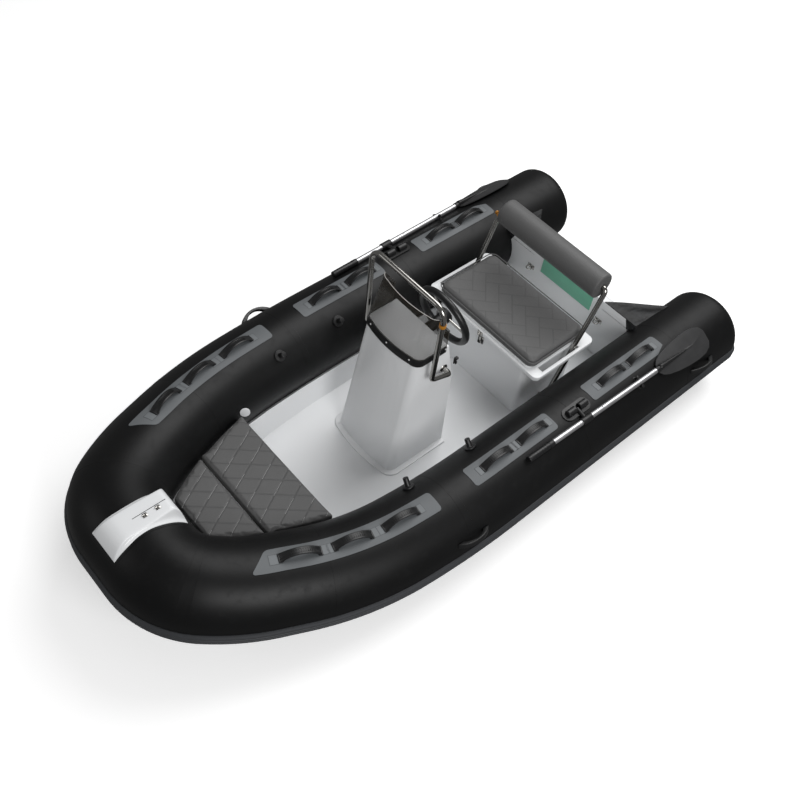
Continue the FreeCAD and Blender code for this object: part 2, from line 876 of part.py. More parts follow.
def placed_on_tube(shape, x, angle, lift):
    centre, along, across, up = tube_axes(x)
    t = math.radians(angle)
    radial = across * math.sin(t) + up * math.cos(t)
    beside = radial.cross(along)
    at = centre + radial * (tube_radius + lift)
    turn = FreeCAD.Placement(FreeCAD.Matrix(
        along.x, beside.x, radial.x, at.x,
        along.y, beside.y, radial.y, at.y,
        along.z, beside.z, radial.z, at.z,
        0, 0, 0, 1))
    placed = shape.copy()
    placed.Placement = turn.multiply(shape.Placement)
    return placed


def arch(length, height, width, strap, foot):
    def arc(half, top):
        return Part.Arc(vec(-half, 0, 0), vec(0, 0, top), vec(half, 0, 0)).toShape()
    outer_half = length / 2
    inner_half = outer_half - foot
    y = -width / 2
    edges = [
        arc(outer_half, height),
        Part.LineSegment(vec(outer_half, 0, 0), vec(inner_half, 0, 0)).toShape(),
        arc(inner_half, height - strap),
        Part.LineSegment(vec(-inner_half, 0, 0), vec(-outer_half, 0, 0)).toShape(),
    ]
    face = Part.Face(Part.Wire(Part.__sortEdges__(edges)))
    face.translate(vec(0, y, 0))
    return outward(face.extrude(vec(0, width, 0)))


# Height of a handle's feet over the skin: the pad's thickness and the curve of the tube's line.
def foot_lift(x, angle):
    centre, _, _, _ = tube_axes(x)
    here = skin_point(x, angle, 0)
    radial = here - centre
    radial.normalize()
    reach = (grab_length - grab_foot) / 2
    rises = [(skin_point(x + sign * reach, angle, 0) - here).dot(radial) for sign in (1, -1)]
    return pad_thickness + seat_gap + seat_gap + max(0.0, *rises)


def make_pads():
    pads = [trimmed_pad(*span) for span in pad_spans]
    sides = [both(p) for p in pads]
    save("pads_port", group([s[0] for s in sides]))
    save("pads_starboard", group([s[1] for s in sides]))
    middle = (pad_inner_angle + pad_outer_angle) / 2
    handle = arch(grab_length, grab_height, grab_width, grab_strap, grab_foot)
    for where, _, _ in pad_spans:
        handles = [placed_on_tube(handle, x, middle, foot_lift(x, middle)) for x in grab_stations[where]]
        mirrored = [both(h)[1] for h in handles]
        save("grab_handles_port_" + where, group(handles))
        save("grab_handles_starboard_" + where, group(mirrored))


def make_carry_handles():
    handle = arch(carry_length, carry_height, carry_width, carry_bar, carry_foot)
    handles = [placed_on_tube(handle, x, carry_angle, seat_gap + seat_gap) for x in carry_stations]
    save("carry_handles_port", group(handles))
    save("carry_handles_starboard", group([both(h)[1] for h in handles]))


def make_valves():
    disc = Part.makeCylinder(valve_radius, valve_thickness)
    cap = Part.makeCylinder(valve_cap_radius, valve_cap_length, vec(0, 0, valve_thickness))
    valve = disc.fuse(cap)
    placed = [placed_on_tube(valve, x, valve_angle, seat_gap) for x in valve_stations]
    save("air_valves", group(placed + [both(v)[1] for v in placed]))


# Bow cushions and locker: their outline follows the inside of the nose tube.
def inner_outline(x_aft, x_front, gap, height_of):
    count = locker_outline_steps
    port = []
    last = len(half_points) - 1
    for i, p in enumerate(half_points):
        a = half_points[max(i - 1, 0)]
        b = half_points[min(i + 1, last)]
        normal = vec(b.y - a.y, a.x - b.x, 0) * -1
        normal.normalize()
        if normal.x < 0 and normal.y < 0:
            normal = normal * -1
        drop = p.z - height_of(p.x)
        reach = math.sqrt(max(tube_radius * tube_radius - drop * drop, 0.0)) + gap
        q = p - normal * reach
        if x_aft < q.x < x_front and q.y > gap:
            port.append(vec(q.x, q.y, 0))
    port = sorted(port, key=lambda q: q.x)
    keep = [port[round(i * (len(port) - 1) / count)] for i in range(count + 1)]
    first = keep[0]
    keep = [vec(x_aft, first.y + (first.x - x_aft) * locker_corner_share, 0)] + keep[1:]
    if x_front < locker_nose:
        keep[-1] = vec(x_front, keep[-1].y, 0)
    return keep


def locker_height(x):
    t = (x - locker_aft) / (locker_nose - locker_aft)
    return locker_top_aft + (locker_top_fore - locker_top_aft) * t


def bow_slab(x_aft, x_front, gap, low, high):
    def height(x):
        return locker_height(x) + (low + high) / 2
    port = inner_outline(x_aft, x_front, gap, height)
    outline = port + [vec(p.x, -p.y, 0) for p in reversed(port)]
    floor = poly_wire([vec(p.x, p.y, locker_height(p.x) + low) for p in outline])
    roof = poly_wire([vec(p.x, p.y, locker_height(p.x) + high) for p in outline])
    return loft([floor, roof])


def make_bow(hull, deck):
    under = locker_lid_thickness
    block = bow_slab(locker_aft, locker_nose, locker_side_gap, deck_height + seat_gap - locker_top_aft, -under)
    block = clear_of_tube(block).cut(hull).cut(deck)
    body = max(block.Solids, key=lambda s: s.Volume)
    hatch = bow_slab(locker_aft + locker_wall, locker_split - locker_wall, locker_hatch_margin,
                     deck_height + locker_floor - locker_top_aft, over)
    fore = bow_slab(locker_split, locker_nose, locker_side_gap, -under, 0)
    body = body.cut(hatch).fuse(fore).removeSplitter()
    save("bow_locker", body)
    lid = bow_slab(locker_aft, locker_split - locker_lid_gap, locker_side_gap, seat_gap - under, 0)
    save("bow_locker_lid", lid)
    low = seat_gap
    high = low + bow_cushion_thickness
    aft = bow_slab(locker_aft, locker_split - locker_lid_gap, locker_side_gap, low, high)
    fore_pad = bow_slab(locker_split + seat_gap, locker_nose, locker_side_gap, low, high)
    save("bow_cushion_aft", aft)
    save("bow_cushion_forward", fore_pad)


def table_at(table, share):
    for a, b in zip(table, table[1:]):
        if share <= b[0]:
            t = (share - a[0]) / (b[0] - a[0])
            return [p + (q - p) * t for p, q in zip(a, b)]
    return list(table[-1])


# Section of the bow plate: a flat crest with hollow skirts that flare to the tube's skin.
def bow_plate_section(share):
    _, crest_share, foot_share, level = table_at(bow_plate_shares, share)
    x = nose_x - bow_plate_aft_reach + (bow_plate_aft_reach + bow_plate_front_reach) * share
    skin = nose_height + math.sqrt(tube_radius ** 2 - (x - nose_x) ** 2)
    foot = skin + bow_plate_lip
    crest = foot + (nose_height + tube_radius + bow_plate_rise - foot) * level
    crest_y = bow_plate_half * crest_share
    foot_y = bow_plate_half * foot_share
    half = [
        (foot_y, skin - bow_plate_lip),
        (foot_y, foot),
        (crest_y + (foot_y - crest_y) * bow_skirt_out_share, crest + (foot - crest) * bow_skirt_down_share),
        (crest_y, crest),
    ]
    mirrored = [(-y, z) for y, z in reversed(half)]
    return poly_wire([vec(x, y, z) for y, z in half + mirrored])


def make_bow_plate():
    cover = loft([bow_plate_section(i / bow_plate_steps) for i in range(bow_plate_steps + 1)])
    cover = clear_of_tube(cover)
    cover = max(cover.Solids, key=lambda s: s.Volume)
    top = nose_height + tube_radius + bow_plate_rise
    aft = nose_x - bow_plate_aft_reach
    slot = box(aft + bow_slot_setback, aft + bow_slot_setback + bow_slot_length, -bow_slot_width / 2,
               bow_slot_width / 2, top - bow_slot_depth, top + over)
    save("bow_plate", cover.cut(slot))
    tabs = []
    for setback in bow_tab_setbacks:
        x0 = aft + setback - bow_tab_length / 2
        x1 = x0 + bow_tab_length
        inner = bow_tab_offset - bow_tab_width / 2
        leaf = box(x0, x1, inner, inner + bow_tab_width, top + seat_gap, top + seat_gap + bow_tab_thickness)
        roll_z = top + seat_gap + bow_tab_roll_radius
        roll = rod(vec(x0, inner, roll_z), vec(x1, inner, roll_z), bow_tab_roll_radius)
        tabs.append(leaf.fuse(roll))
    save("bow_tabs", group(tabs))


def make_transom_fittings():
    x = transom_thickness + seat_gap
    plate_high = transom_top - clamp_plate_drop
    plate = box(x, x + clamp_plate_thickness, -clamp_plate_half, clamp_plate_half,
                plate_high - clamp_plate_height, plate_high)
    save("transom_plate", plate)
    eye_height = transom_top - eye_drop
    eyes = []
    for side in (1, -1):
        y = side * eye_half
        pad_plate = box(x, x + eye_plate_thickness, y - eye_plate_width / 2, y + eye_plate_width / 2,
                        eye_height - eye_plate_height / 2, eye_height + eye_plate_height / 2)
        ring = Part.makeTorus(eye_ring_radius, eye_wire_radius,
                              vec(x + eye_plate_thickness + eye_ring_radius, y, eye_height), vec(0, 0, 1))
        ring = ring.cut(box(0, x, y - over, y + over, eye_height - over, eye_height + over))
        eyes.append(pad_plate.fuse(ring))
    save("towing_eyes", group(eyes))
    rise = math.sqrt(tube_radius ** 2 - gusset_tube_inset ** 2)
    flaps = []
    for side in (1, -1):
        low = transom_top - gusset_thickness
        points = [
            vec(-seat_gap, side * (transom_shoulder_half - gusset_tip_reach), low),
            vec(-seat_gap, side * transom_shoulder_half, low),
            vec(-gusset_run, side * (tube_half_spacing - gusset_tube_inset), tube_centre_height + rise + gusset_lift),
        ]
        flap = clear_of_tube(prism(points, vec(0, 0, gusset_thickness)))
        flaps.append(max(flap.Solids, key=lambda s: s.Volume))
    save("gusset_flaps", group(flaps))


# Line of an oar's shaft at rest: ends of the shaft and its direction, aft.
def oar_line(side, sign):
    ends = []
    for reach, offset, rise in oar_lines[side]:
        ends.append(vec(rowlock_x + reach, sign * (tube_half_spacing + offset), tube_centre_height + rise))
    along = ends[1] - ends[0]
    along.normalize()
    return ends[0], ends[1], along


# Away from the tube's axis, square to the oar.
def oar_up(end, along, sign):
    up = vec(0, end.y - sign * tube_half_spacing, end.z - tube_centre_height)
    up = up - along * up.dot(along)
    up.normalize()
    return up


def blade(end, along, up):
    beside = up.cross(along)
    half_shares = [(0.0, 0.14), (0.05, 0.26), (0.14, 0.35), (0.30, 0.43), (0.50, 0.485), (0.70, 0.50), (0.85, 0.465),
                   (0.95, 0.36), (1.0, 0.20)]
    start = end - up * (oar_blade_drop + oar_blade_thickness / 2)
    port = [start + along * (oar_blade_length * a) + beside * (oar_blade_width * w) for a, w in half_shares]
    board = [start + along * (oar_blade_length * a) - beside * (oar_blade_width * w) for a, w in reversed(half_shares)]
    leaf = prism(port + board, up * oar_blade_thickness)
    spine_length = oar_blade_length * oar_spine_share
    line = along * spine_length - up * oar_blade_drop
    spine = Part.makeCone(oar_shaft_radius, oar_spine_tip_radius, line.Length, end, line)
    behind = rod(end - along * oar_shaft_radius, end, oar_shaft_radius + over)
    return leaf.fuse(spine.cut(behind))


def make_rowlock(sign):
    angle = math.degrees(math.asin(rowlock_offset / tube_radius))
    base = slab(-rowlock_base_length / 2, rowlock_base_length / 2, rowlock_base_width / 2,
                rowlock_base_width / 2 - seat_gap, 0, rowlock_base_thickness)
    height = rowlock_base_thickness + rowlock_block_radius / 2
    for side in (1, -1):
        near = side * rowlock_block_gap / 2
        block = rod(vec(near, 0, height), vec(near + side * rowlock_block_length, 0, height), rowlock_block_radius)
        half = rowlock_base_length / 2
        base = base.fuse(block.cut(box(-half, half, -over, over, -over, 0)))
    sagitta = (rowlock_base_width / 2) ** 2 / (2 * tube_radius)
    placed = placed_on_tube(base, rowlock_x, angle, seat_gap - sagitta)
    placed = max(placed.cut(tube_cutters[0]).Solids, key=lambda s: s.Volume)
    return placed if sign > 0 else both(placed)[1]


def make_clip():
    foot = Part.makeCylinder(oar_clip_foot_radius, oar_clip_foot_thickness)
    post = Part.makeCylinder(oar_clip_post_radius, oar_clip_post_length)
    head = Part.makeCylinder(oar_clip_head_radius, oar_clip_head_length, vec(0, 0, oar_clip_post_length))
    return foot.fuse([post, head])


def make_oars():
    bases = []
    clips = []
    for side, sign in (("port", 1), ("starboard", -1)):
        start, end, along = oar_line(side, sign)
        up = oar_up(end, along, sign)
        grip_end = start + along * oar_grip_length
        save("oar_grip_" + side, rod(start, grip_end, oar_grip_radius))
        save("oar_shaft_" + side, rod(grip_end, end, oar_shaft_radius))
        save("oar_blade_" + side, blade(end, along, up))
        base = make_rowlock(sign)
        bases.append(base)
        hold = start + along * ((start.x - rowlock_x) / abs(along.x))
        reach = along * (oar_collar_length / 2)
        collar = rod(hold - reach, hold + reach, oar_collar_radius)
        bore = rod(hold - reach - reach, hold + reach + reach, oar_shaft_radius + seat_gap)
        root = skin_point(rowlock_x, math.degrees(math.asin(rowlock_offset / tube_radius)), rowlock_root_lift)
        arm = rod(vec(root.x, sign * root.y, root.z), hold, rowlock_arm_radius)
        swivel = collar.fuse(arm).cut(bore).cut(base).cut(tube_cutters[0 if sign > 0 else 1])
        save("rowlock_swivel_" + side, max(swivel.Solids, key=lambda s: s.Volume))
        clip_x = rowlock_x - oar_clip_setback
        at = start + along * ((start.x - clip_x) / abs(along.x))
        middle = math.degrees(math.atan2(abs(at.y) - tube_half_spacing, at.z - tube_centre_height))
        turn = math.degrees(oar_clip_spread / tube_radius)
        foot_turn = math.degrees(oar_clip_foot_radius / tube_radius)
        for angle in (middle - turn, middle + turn):
            on_pad = angle - foot_turn < pad_outer_angle
            post = placed_on_tube(make_clip(), clip_x, angle, seat_gap + (pad_thickness + seat_gap) * on_pad)
            clips.append(post if sign > 0 else both(post)[1])
    save("rowlock_bases", group(bases))
    save("oar_clips", group(clips))


def make_latch():
    x = tray_front + seat_gap
    plate = box(x, x + latch_thickness, -latch_width / 2, latch_width / 2, tray_top - tray_thickness, tray_top)
    knob = rod(vec(x, 0, tray_top - tray_thickness / 2),
               vec(x + latch_thickness + latch_knob_length, 0, tray_top - tray_thickness / 2), latch_knob_radius)
    save("seat_latch", plate.fuse(knob))


os.makedirs("parts", exist_ok=True)
make_tubes()
hull_body = make_hull()
deck_body = make_deck()
make_transom()
console_body = make_console()
make_screen()
make_rail()
make_steering(console_body)
make_seat()
make_backrest()
make_pads()
make_carry_handles()
make_valves()
make_bow(hull_body, deck_body)
make_bow_plate()
make_transom_fittings()
make_oars()
make_latch()
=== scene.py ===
import json
import math
import bmesh
import bpy
from mathutils import Matrix, Vector
from mathutils.bvhtree import BVHTree


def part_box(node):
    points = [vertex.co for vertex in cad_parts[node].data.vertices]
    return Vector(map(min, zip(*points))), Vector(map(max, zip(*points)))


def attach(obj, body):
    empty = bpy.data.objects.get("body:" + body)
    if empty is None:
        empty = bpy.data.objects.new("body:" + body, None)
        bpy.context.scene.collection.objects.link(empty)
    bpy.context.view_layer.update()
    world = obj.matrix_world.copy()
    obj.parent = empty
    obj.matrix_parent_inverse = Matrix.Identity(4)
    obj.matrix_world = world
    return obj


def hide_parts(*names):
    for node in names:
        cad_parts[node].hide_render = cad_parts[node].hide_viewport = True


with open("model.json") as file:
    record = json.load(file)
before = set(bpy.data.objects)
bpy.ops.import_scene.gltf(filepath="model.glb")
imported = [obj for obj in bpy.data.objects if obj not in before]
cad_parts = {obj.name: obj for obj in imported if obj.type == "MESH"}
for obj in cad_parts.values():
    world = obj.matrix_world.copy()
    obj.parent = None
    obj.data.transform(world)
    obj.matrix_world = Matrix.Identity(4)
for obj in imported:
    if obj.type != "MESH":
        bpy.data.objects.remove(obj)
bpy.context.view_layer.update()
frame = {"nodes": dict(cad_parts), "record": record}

bl_info = {
    "name": "Inflatable rib boat",
    "version": (1, 0, 0),
    "blender": (4, 5, 0),
    "location": "3D View > Sidebar > Boat",
    "description": "Dresses the hull, tubes, console, seat and oars of a small rigid inflatable boat",
    "category": "Object",
}

ROOT = "root"
PATH_STEP = 0.018
RING_STEPS = 96
HALF_PI = math.pi / 2


# Sizes read from the frame
def low(node):
    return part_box(node)[0]


def high(node):
    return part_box(node)[1]


def middle(node):
    return (low(node) + high(node)) / 2


TUBE_RADIUS = (high("tube_port").z - low("tube_port").z) / 2
TUBE_SPACING = middle("tube_port").y
TUBE_HEIGHT = middle("tube_port").z


class TubeSizes(bpy.types.PropertyGroup):
    radius: bpy.props.FloatProperty(
        name="Tube radius", description="Radius of the buoyancy tube", default=TUBE_RADIUS, unit="LENGTH")
    spacing: bpy.props.FloatProperty(
        name="Half spacing", description="Centreline to the axis of each side tube",
        default=TUBE_SPACING, unit="LENGTH")
    height: bpy.props.FloatProperty(
        name="Axis height", description="Height of the side tubes' axis over the water",
        default=TUBE_HEIGHT, unit="LENGTH")
    dome: bpy.props.FloatProperty(
        name="Tail dome", description="Length of the domed tail of each tube", default=0.100, unit="LENGTH")
    turn_start: bpy.props.FloatProperty(
        name="Bow turn", description="Where the tube starts to turn in to the bow", default=1.499,
        unit="LENGTH")
    sheer_rise: bpy.props.FloatProperty(
        name="Sheer rise", description="How far the tube rises to the bow", default=0.162, unit="LENGTH")
    seam_width: bpy.props.FloatProperty(
        name="Seam tape width", description="Width of the glued tapes round the tube", default=0.032,
        unit="LENGTH")
    seam_height: bpy.props.FloatProperty(
        name="Seam tape height", description="How proud the glued tapes stand", default=0.0006, unit="LENGTH")


class PadSizes(bpy.types.PropertyGroup):
    thickness: bpy.props.FloatProperty(
        name="Pad thickness", description="Thickness of the pads glued under the handles",
        default=0.0025, unit="LENGTH")
    inner_angle: bpy.props.FloatProperty(
        name="Inner edge", description="Angle round the tube of a pad's inboard edge",
        default=math.radians(-13.0), subtype="ANGLE")
    outer_angle: bpy.props.FloatProperty(
        name="Outer edge", description="Angle round the tube of a pad's outboard edge",
        default=math.radians(15.0), subtype="ANGLE")
    nose_slant: bpy.props.FloatProperty(
        name="Nose slant", description="How far the forward pad's outboard corner runs past the inboard one",
        default=0.062, unit="LENGTH")
    chamfer: bpy.props.FloatProperty(
        name="Aft chamfer", description="Length cut off the aft pad's outboard corner", default=0.064,
        unit="LENGTH")
    corner: bpy.props.FloatProperty(
        name="Corner radius", description="Radius of a pad's corners", default=0.016, unit="LENGTH")
    patch_length: bpy.props.FloatProperty(
        name="Patch length", description="Length of the welded patch over a handle's foot",
        default=0.050, unit="LENGTH")
    patch_shift: bpy.props.FloatProperty(
        name="Patch shift", description="How far a patch's middle lies outside the handle's foot",
        default=0.014, unit="LENGTH")
    patch_width: bpy.props.FloatProperty(
        name="Patch width", description="Width of the welded patch over a handle's foot",
        default=0.046, unit="LENGTH")


class CushionSizes(bpy.types.PropertyGroup):
    voxel: bpy.props.FloatProperty(
        name="Voxel", description="Voxel of the remesh before the pad is inflated", default=0.0056,
        unit="LENGTH")
    pressure: bpy.props.FloatProperty(
        name="Pressure", description="Pressure that swells a cushion", default=4.0)
    cap: bpy.props.FloatProperty(
        name="Swell limit", description="The most that a point may swell", default=0.007, unit="LENGTH")
    quilt_depth: bpy.props.FloatProperty(
        name="Quilt depth", description="Depth of the sewn channels", default=0.0016, unit="LENGTH")


class BoatColours(bpy.types.PropertyGroup):
    tube: bpy.props.FloatVectorProperty(
        name="Tube fabric", description="Colour of the tube fabric", size=3, subtype="COLOR",
        default=(0.0030, 0.0031, 0.0033))
    strake: bpy.props.FloatVectorProperty(
        name="Rub strake", description="Colour of the rub strake", size=3, subtype="COLOR",
        default=(0.034, 0.036, 0.040))
    pad: bpy.props.FloatVectorProperty(
        name="Pads", description="Colour of the pads under the handles", size=3, subtype="COLOR",
        default=(0.105, 0.113, 0.119))
    gelcoat: bpy.props.FloatVectorProperty(
        name="Gelcoat", description="Colour of the mouldings", size=3, subtype="COLOR",
        default=(0.72, 0.73, 0.74))
    vinyl: bpy.props.FloatVectorProperty(
        name="Vinyl", description="Colour of the cushions", size=3, subtype="COLOR",
        default=(0.086, 0.086, 0.086))
    board: bpy.props.FloatVectorProperty(
        name="Clamp board", description="Colour of the clamp board", size=3, subtype="COLOR",
        default=(0.150, 0.430, 0.300))
    amber: bpy.props.FloatVectorProperty(
        name="Amber", description="Colour of the small clips on the rails", size=3, subtype="COLOR",
        default=(0.42, 0.17, 0.010))


def sizes(name):
    return getattr(bpy.context.scene, name)


# A shader socket that adds its own Math nodes when it is used in a sum
class Value:
    def __init__(self, maker, socket):
        self.maker = maker
        self.socket = socket

    def _math(self, operation, *others):
        return self.maker.node("ShaderNodeMath", {"operation": operation}, [self, *others])

    def __add__(self, other):
        return self._math("ADD", other)

    __radd__ = __add__

    def __mul__(self, other):
        return self._math("MULTIPLY", other)

    __rmul__ = __mul__


# Builds one material's nodes
class Finish:
    def __init__(self, name):
        self.material = bpy.data.materials.new(name)
        self.material.use_nodes = True
        self.tree = self.material.node_tree
        self.shader = self.tree.nodes["Principled BSDF"]
        self.place = self.node("ShaderNodeTexCoord", out="Object")

    def node(self, kind, settings=None, inputs=(), out=0):
        made = self.tree.nodes.new(kind)
        for key, setting in (settings or {}).items():
            if key == "stops":
                self._stops(made.color_ramp, setting)
            else:
                setattr(made, key, setting)
        named = inputs.items() if isinstance(inputs, dict) else enumerate(inputs)
        for key, given in named:
            self._feed(made.inputs[key], given)
        return Value(self, made.outputs[out])

    def _stops(self, ramp, stops):
        while len(ramp.elements) < len(stops):
            ramp.elements.new(1.0)
        for element, (place, level) in zip(ramp.elements, stops):
            element.position = place
            element.color = (level, level, level, 1)

    def _feed(self, socket, given):
        if isinstance(given, Value):
            self.tree.links.new(given.socket, socket)
        elif isinstance(given, (tuple, list)) and len(given) == 3 and socket.type == "RGBA":
            socket.default_value = (*given, 1)
        else:
            socket.default_value = given

    def noise(self, scale, detail=2.0, roughness=0.5, place=None):
        return self.node("ShaderNodeTexNoise", {}, {
            "Vector": place or self.place, "Scale": scale, "Detail": detail, "Roughness": roughness}, "Fac")

    def ramp(self, value, *stops):
        return self.node("ShaderNodeValToRGB", {"stops": stops}, [value])

    def stretched(self, x, y, z):
        return self.node("ShaderNodeMapping", {}, {"Vector": self.place, "Scale": (x, y, z)})

    def mix(self, share, first, second):
        made = self.tree.nodes.new("ShaderNodeMix")
        made.data_type = "RGBA"
        for index, given in ((0, share), (6, first), (7, second)):
            self._feed(made.inputs[index], given)
        return Value(self, made.outputs[2])

    def set(self, **given):
        for key, value in given.items():
            self._feed(self.shader.inputs[key.replace("_", " ")], value)

    def bump(self, height, distance, strength=1.0):
        normal = self.node("ShaderNodeBump", {}, {
            "Strength": strength, "Distance": distance, "Height": height})
        self.set(Normal=normal)


def shade(colour, factor):
    return tuple(channel * factor for channel in colour)


def tube_fabric():
    made = Finish("Tube fabric")
    colour = tuple(sizes("boat_colours").tube)
    cloud = made.ramp(made.noise(3.2, 3.0), (0.30, 0.0), (0.75, 1.0))
    scuff = made.ramp(made.noise(26.0, 5.0, 0.62), (0.52, 0.0), (0.78, 1.0))
    weave = made.noise(1400.0, 1.0)
    base = made.mix(cloud, shade(colour, 0.88), shade(colour, 1.18))
    base = made.mix(scuff * 0.16, base, shade(colour, 2.4))
    rough = cloud * 0.06 + scuff * 0.10 + 0.42
    made.set(Base_Color=base, Roughness=rough, Specular_IOR_Level=0.26)
    ripple = made.noise(9.0, 2.0)
    made.bump(ripple * 0.35 + weave * 0.03 + scuff * 0.02, 0.0016, 0.55)
    return made.material


def strake_rubber():
    made = Finish("Strake rubber")
    colour = tuple(sizes("boat_colours").strake)
    scuff = made.ramp(made.noise(60.0, 6.0, 0.68), (0.50, 0.0), (0.80, 1.0))
    base = made.mix(scuff * 0.35, colour, shade(colour, 1.9))
    made.set(Base_Color=base, Roughness=scuff * 0.12 + 0.56)
    made.bump(made.noise(900.0, 2.0), 0.0003, 0.5)
    return made.material


def pad_fabric():
    made = Finish("Pad fabric")
    colour = tuple(sizes("boat_colours").pad)
    cloud = made.noise(14.0, 4.0, 0.6)
    grain = made.noise(1200.0, 2.0)
    base = made.mix(cloud, shade(colour, 0.90), shade(colour, 1.10))
    made.set(Base_Color=base, Roughness=cloud * 0.10 + 0.52)
    made.bump(grain + cloud * 0.4, 0.0003, 0.6)
    return made.material


def patch_fabric():
    made = Finish("Patch fabric")
    colour = tuple(sizes("boat_colours").pad)
    cloud = made.noise(30.0, 4.0, 0.6)
    base = made.mix(cloud, shade(colour, 1.12), shade(colour, 1.34))
    made.set(Base_Color=base, Roughness=cloud * 0.10 + 0.48)
    made.bump(made.noise(1200.0, 2.0), 0.0003, 0.6)
    return made.material


# Darker than the pad: painted shade along the edge of a handle's patch
def patch_rim_shade():
    made = Finish("Patch rim shade")
    colour = tuple(sizes("boat_colours").pad)
    cloud = made.noise(60.0, 4.0, 0.6)
    base = made.mix(cloud, shade(colour, 0.55), shade(colour, 0.75))
    made.set(Base_Color=base, Roughness=cloud * 0.10 + 0.52)
    return made.material


def gelcoat():
    made = Finish("White gelcoat")
    colour = tuple(sizes("boat_colours").gelcoat)
    cloud = made.noise(2.4, 3.0)
    speck = made.ramp(made.noise(180.0, 4.0, 0.7), (0.66, 0.0), (0.80, 1.0))
    base = made.mix(cloud, shade(colour, 0.975), shade(colour, 1.02))
    base = made.mix(speck * 0.10, base, shade(colour, 0.80))
    made.set(Base_Color=base, Roughness=cloud * 0.06 + 0.30, Coat_Weight=0.12, Coat_Roughness=0.10)
    made.bump(made.noise(22.0, 2.0), 0.0004, 0.25)
    return made.material


def deck_gelcoat():
    made = Finish("Deck gelcoat")
    colour = tuple(sizes("boat_colours").gelcoat)
    cloud = made.noise(3.4, 4.0, 0.6)
    cell = made.node("ShaderNodeTexVoronoi", {}, {"Vector": made.place, "Scale": 260.0}, "Distance")
    stud = made.ramp(cell, (0.05, 1.0), (0.60, 0.0))
    base = made.mix(cloud, shade(colour, 0.965), shade(colour, 1.025))
    made.set(Base_Color=base, Roughness=cloud * 0.08 + 0.34)
    made.bump(stud, 0.0005, 0.35)
    return made.material


def black_moulding():
    made = Finish("Black moulding")
    cloud = made.noise(40.0, 4.0, 0.6)
    base = made.mix(cloud, (0.0045, 0.0045, 0.0048), (0.0095, 0.0095, 0.0100))
    made.set(Base_Color=base, Roughness=cloud * 0.12 + 0.36)
    made.bump(made.noise(1500.0, 2.0), 0.0002, 0.5)
    return made.material


def handle_rubber():
    made = Finish("Handle rubber")
    cloud = made.noise(60.0, 4.0, 0.6)
    base = made.mix(cloud, (0.0040, 0.0041, 0.0044), (0.0085, 0.0087, 0.0092))
    made.set(Base_Color=base, Roughness=cloud * 0.10 + 0.33)
    made.bump(made.noise(1700.0, 2.0), 0.0002, 0.6)
    return made.material


def blade_plastic():
    made = Finish("Blade plastic")
    cloud = made.noise(18.0, 5.0, 0.6)
    streak = made.ramp(made.noise(40.0, 5.0, 0.7, made.stretched(0.12, 1.0, 1.0)), (0.5, 0.0), (0.8, 1.0))
    base = made.mix(cloud, (0.0200, 0.0200, 0.0205), (0.0300, 0.0300, 0.0310))
    base = made.mix(streak * 0.2, base, (0.050, 0.050, 0.052))
    made.set(Base_Color=base, Roughness=cloud * 0.12 + 0.40)
    made.bump(made.noise(1200.0, 2.0), 0.0002, 0.5)
    return made.material


def cushion_vinyl():
    made = Finish("Cushion vinyl")
    colour = tuple(sizes("boat_colours").vinyl)
    cloud = made.noise(7.0, 3.0, 0.55)
    cells = made.node("ShaderNodeTexVoronoi", {}, {"Vector": made.place, "Scale": 700.0}, "Distance")
    grain = made.ramp(cells, (0.10, 0.0), (0.65, 1.0))
    base = made.mix(cloud, shade(colour, 0.90), shade(colour, 1.10))
    base = made.mix(grain * 0.20, base, shade(colour, 0.72))
    # Darker in the sewn channels: painted shade in the creases
    seam = made.node("ShaderNodeAttribute", {"attribute_name": "seam"}, (), "Fac")
    base = made.mix(seam * 0.50, base, shade(colour, 0.38))
    made.set(Base_Color=base, Roughness=cloud * 0.08 + 0.46, Sheen_Weight=0.08)
    made.bump(grain + cloud * 0.5, 0.0005, 0.55)
    return made.material


def thread():
    made = Finish("Pale thread")
    twist = made.noise(2600.0, 2.0)
    made.set(Base_Color=made.mix(twist, (0.38, 0.38, 0.38), (0.56, 0.56, 0.56)), Roughness=0.7)
    made.bump(twist, 0.0002, 0.6)
    return made.material


def stainless():
    made = Finish("Polished stainless")
    smear = made.noise(30.0, 4.0, 0.6)
    brush = made.noise(220.0, 3.0, 0.6, made.stretched(1.0, 1.0, 0.05))
    made.set(Base_Color=made.mix(smear, (0.34, 0.33, 0.31), (0.47, 0.46, 0.44)), Metallic=1.0,
             Roughness=smear * 0.08 + brush * 0.05 + 0.09)
    made.bump(brush, 0.0001, 0.3)
    return made.material


def bright_aluminium():
    made = Finish("Bright aluminium")
    smear = made.noise(24.0, 3.0)
    made.set(Base_Color=made.mix(smear, (0.56, 0.56, 0.57), (0.68, 0.68, 0.69)), Metallic=1.0,
             Roughness=smear * 0.08 + 0.40)
    made.bump(smear, 0.0002, 0.3)
    return made.material


def smoked_acrylic():
    made = Finish("Smoked acrylic")
    haze = made.noise(12.0, 3.0)
    made.set(Base_Color=(0.022, 0.018, 0.012), Roughness=haze * 0.03 + 0.04, Alpha=0.44 + haze * 0.03)
    return made.material


def clamp_board():
    made = Finish("Clamp board")
    colour = tuple(sizes("boat_colours").board)
    cloud = made.noise(16.0, 5.0, 0.6)
    scratch = made.ramp(made.noise(90.0, 5.0, 0.7, made.stretched(1.0, 0.08, 1.0)), (0.58, 0.0), (0.75, 1.0))
    base = made.mix(cloud, shade(colour, 0.90), shade(colour, 1.10))
    base = made.mix(scratch * 0.2, base, shade(colour, 1.35))
    made.set(Base_Color=base, Roughness=cloud * 0.1 + 0.42)
    made.bump(cloud + scratch * 0.5, 0.0004, 0.4)
    return made.material


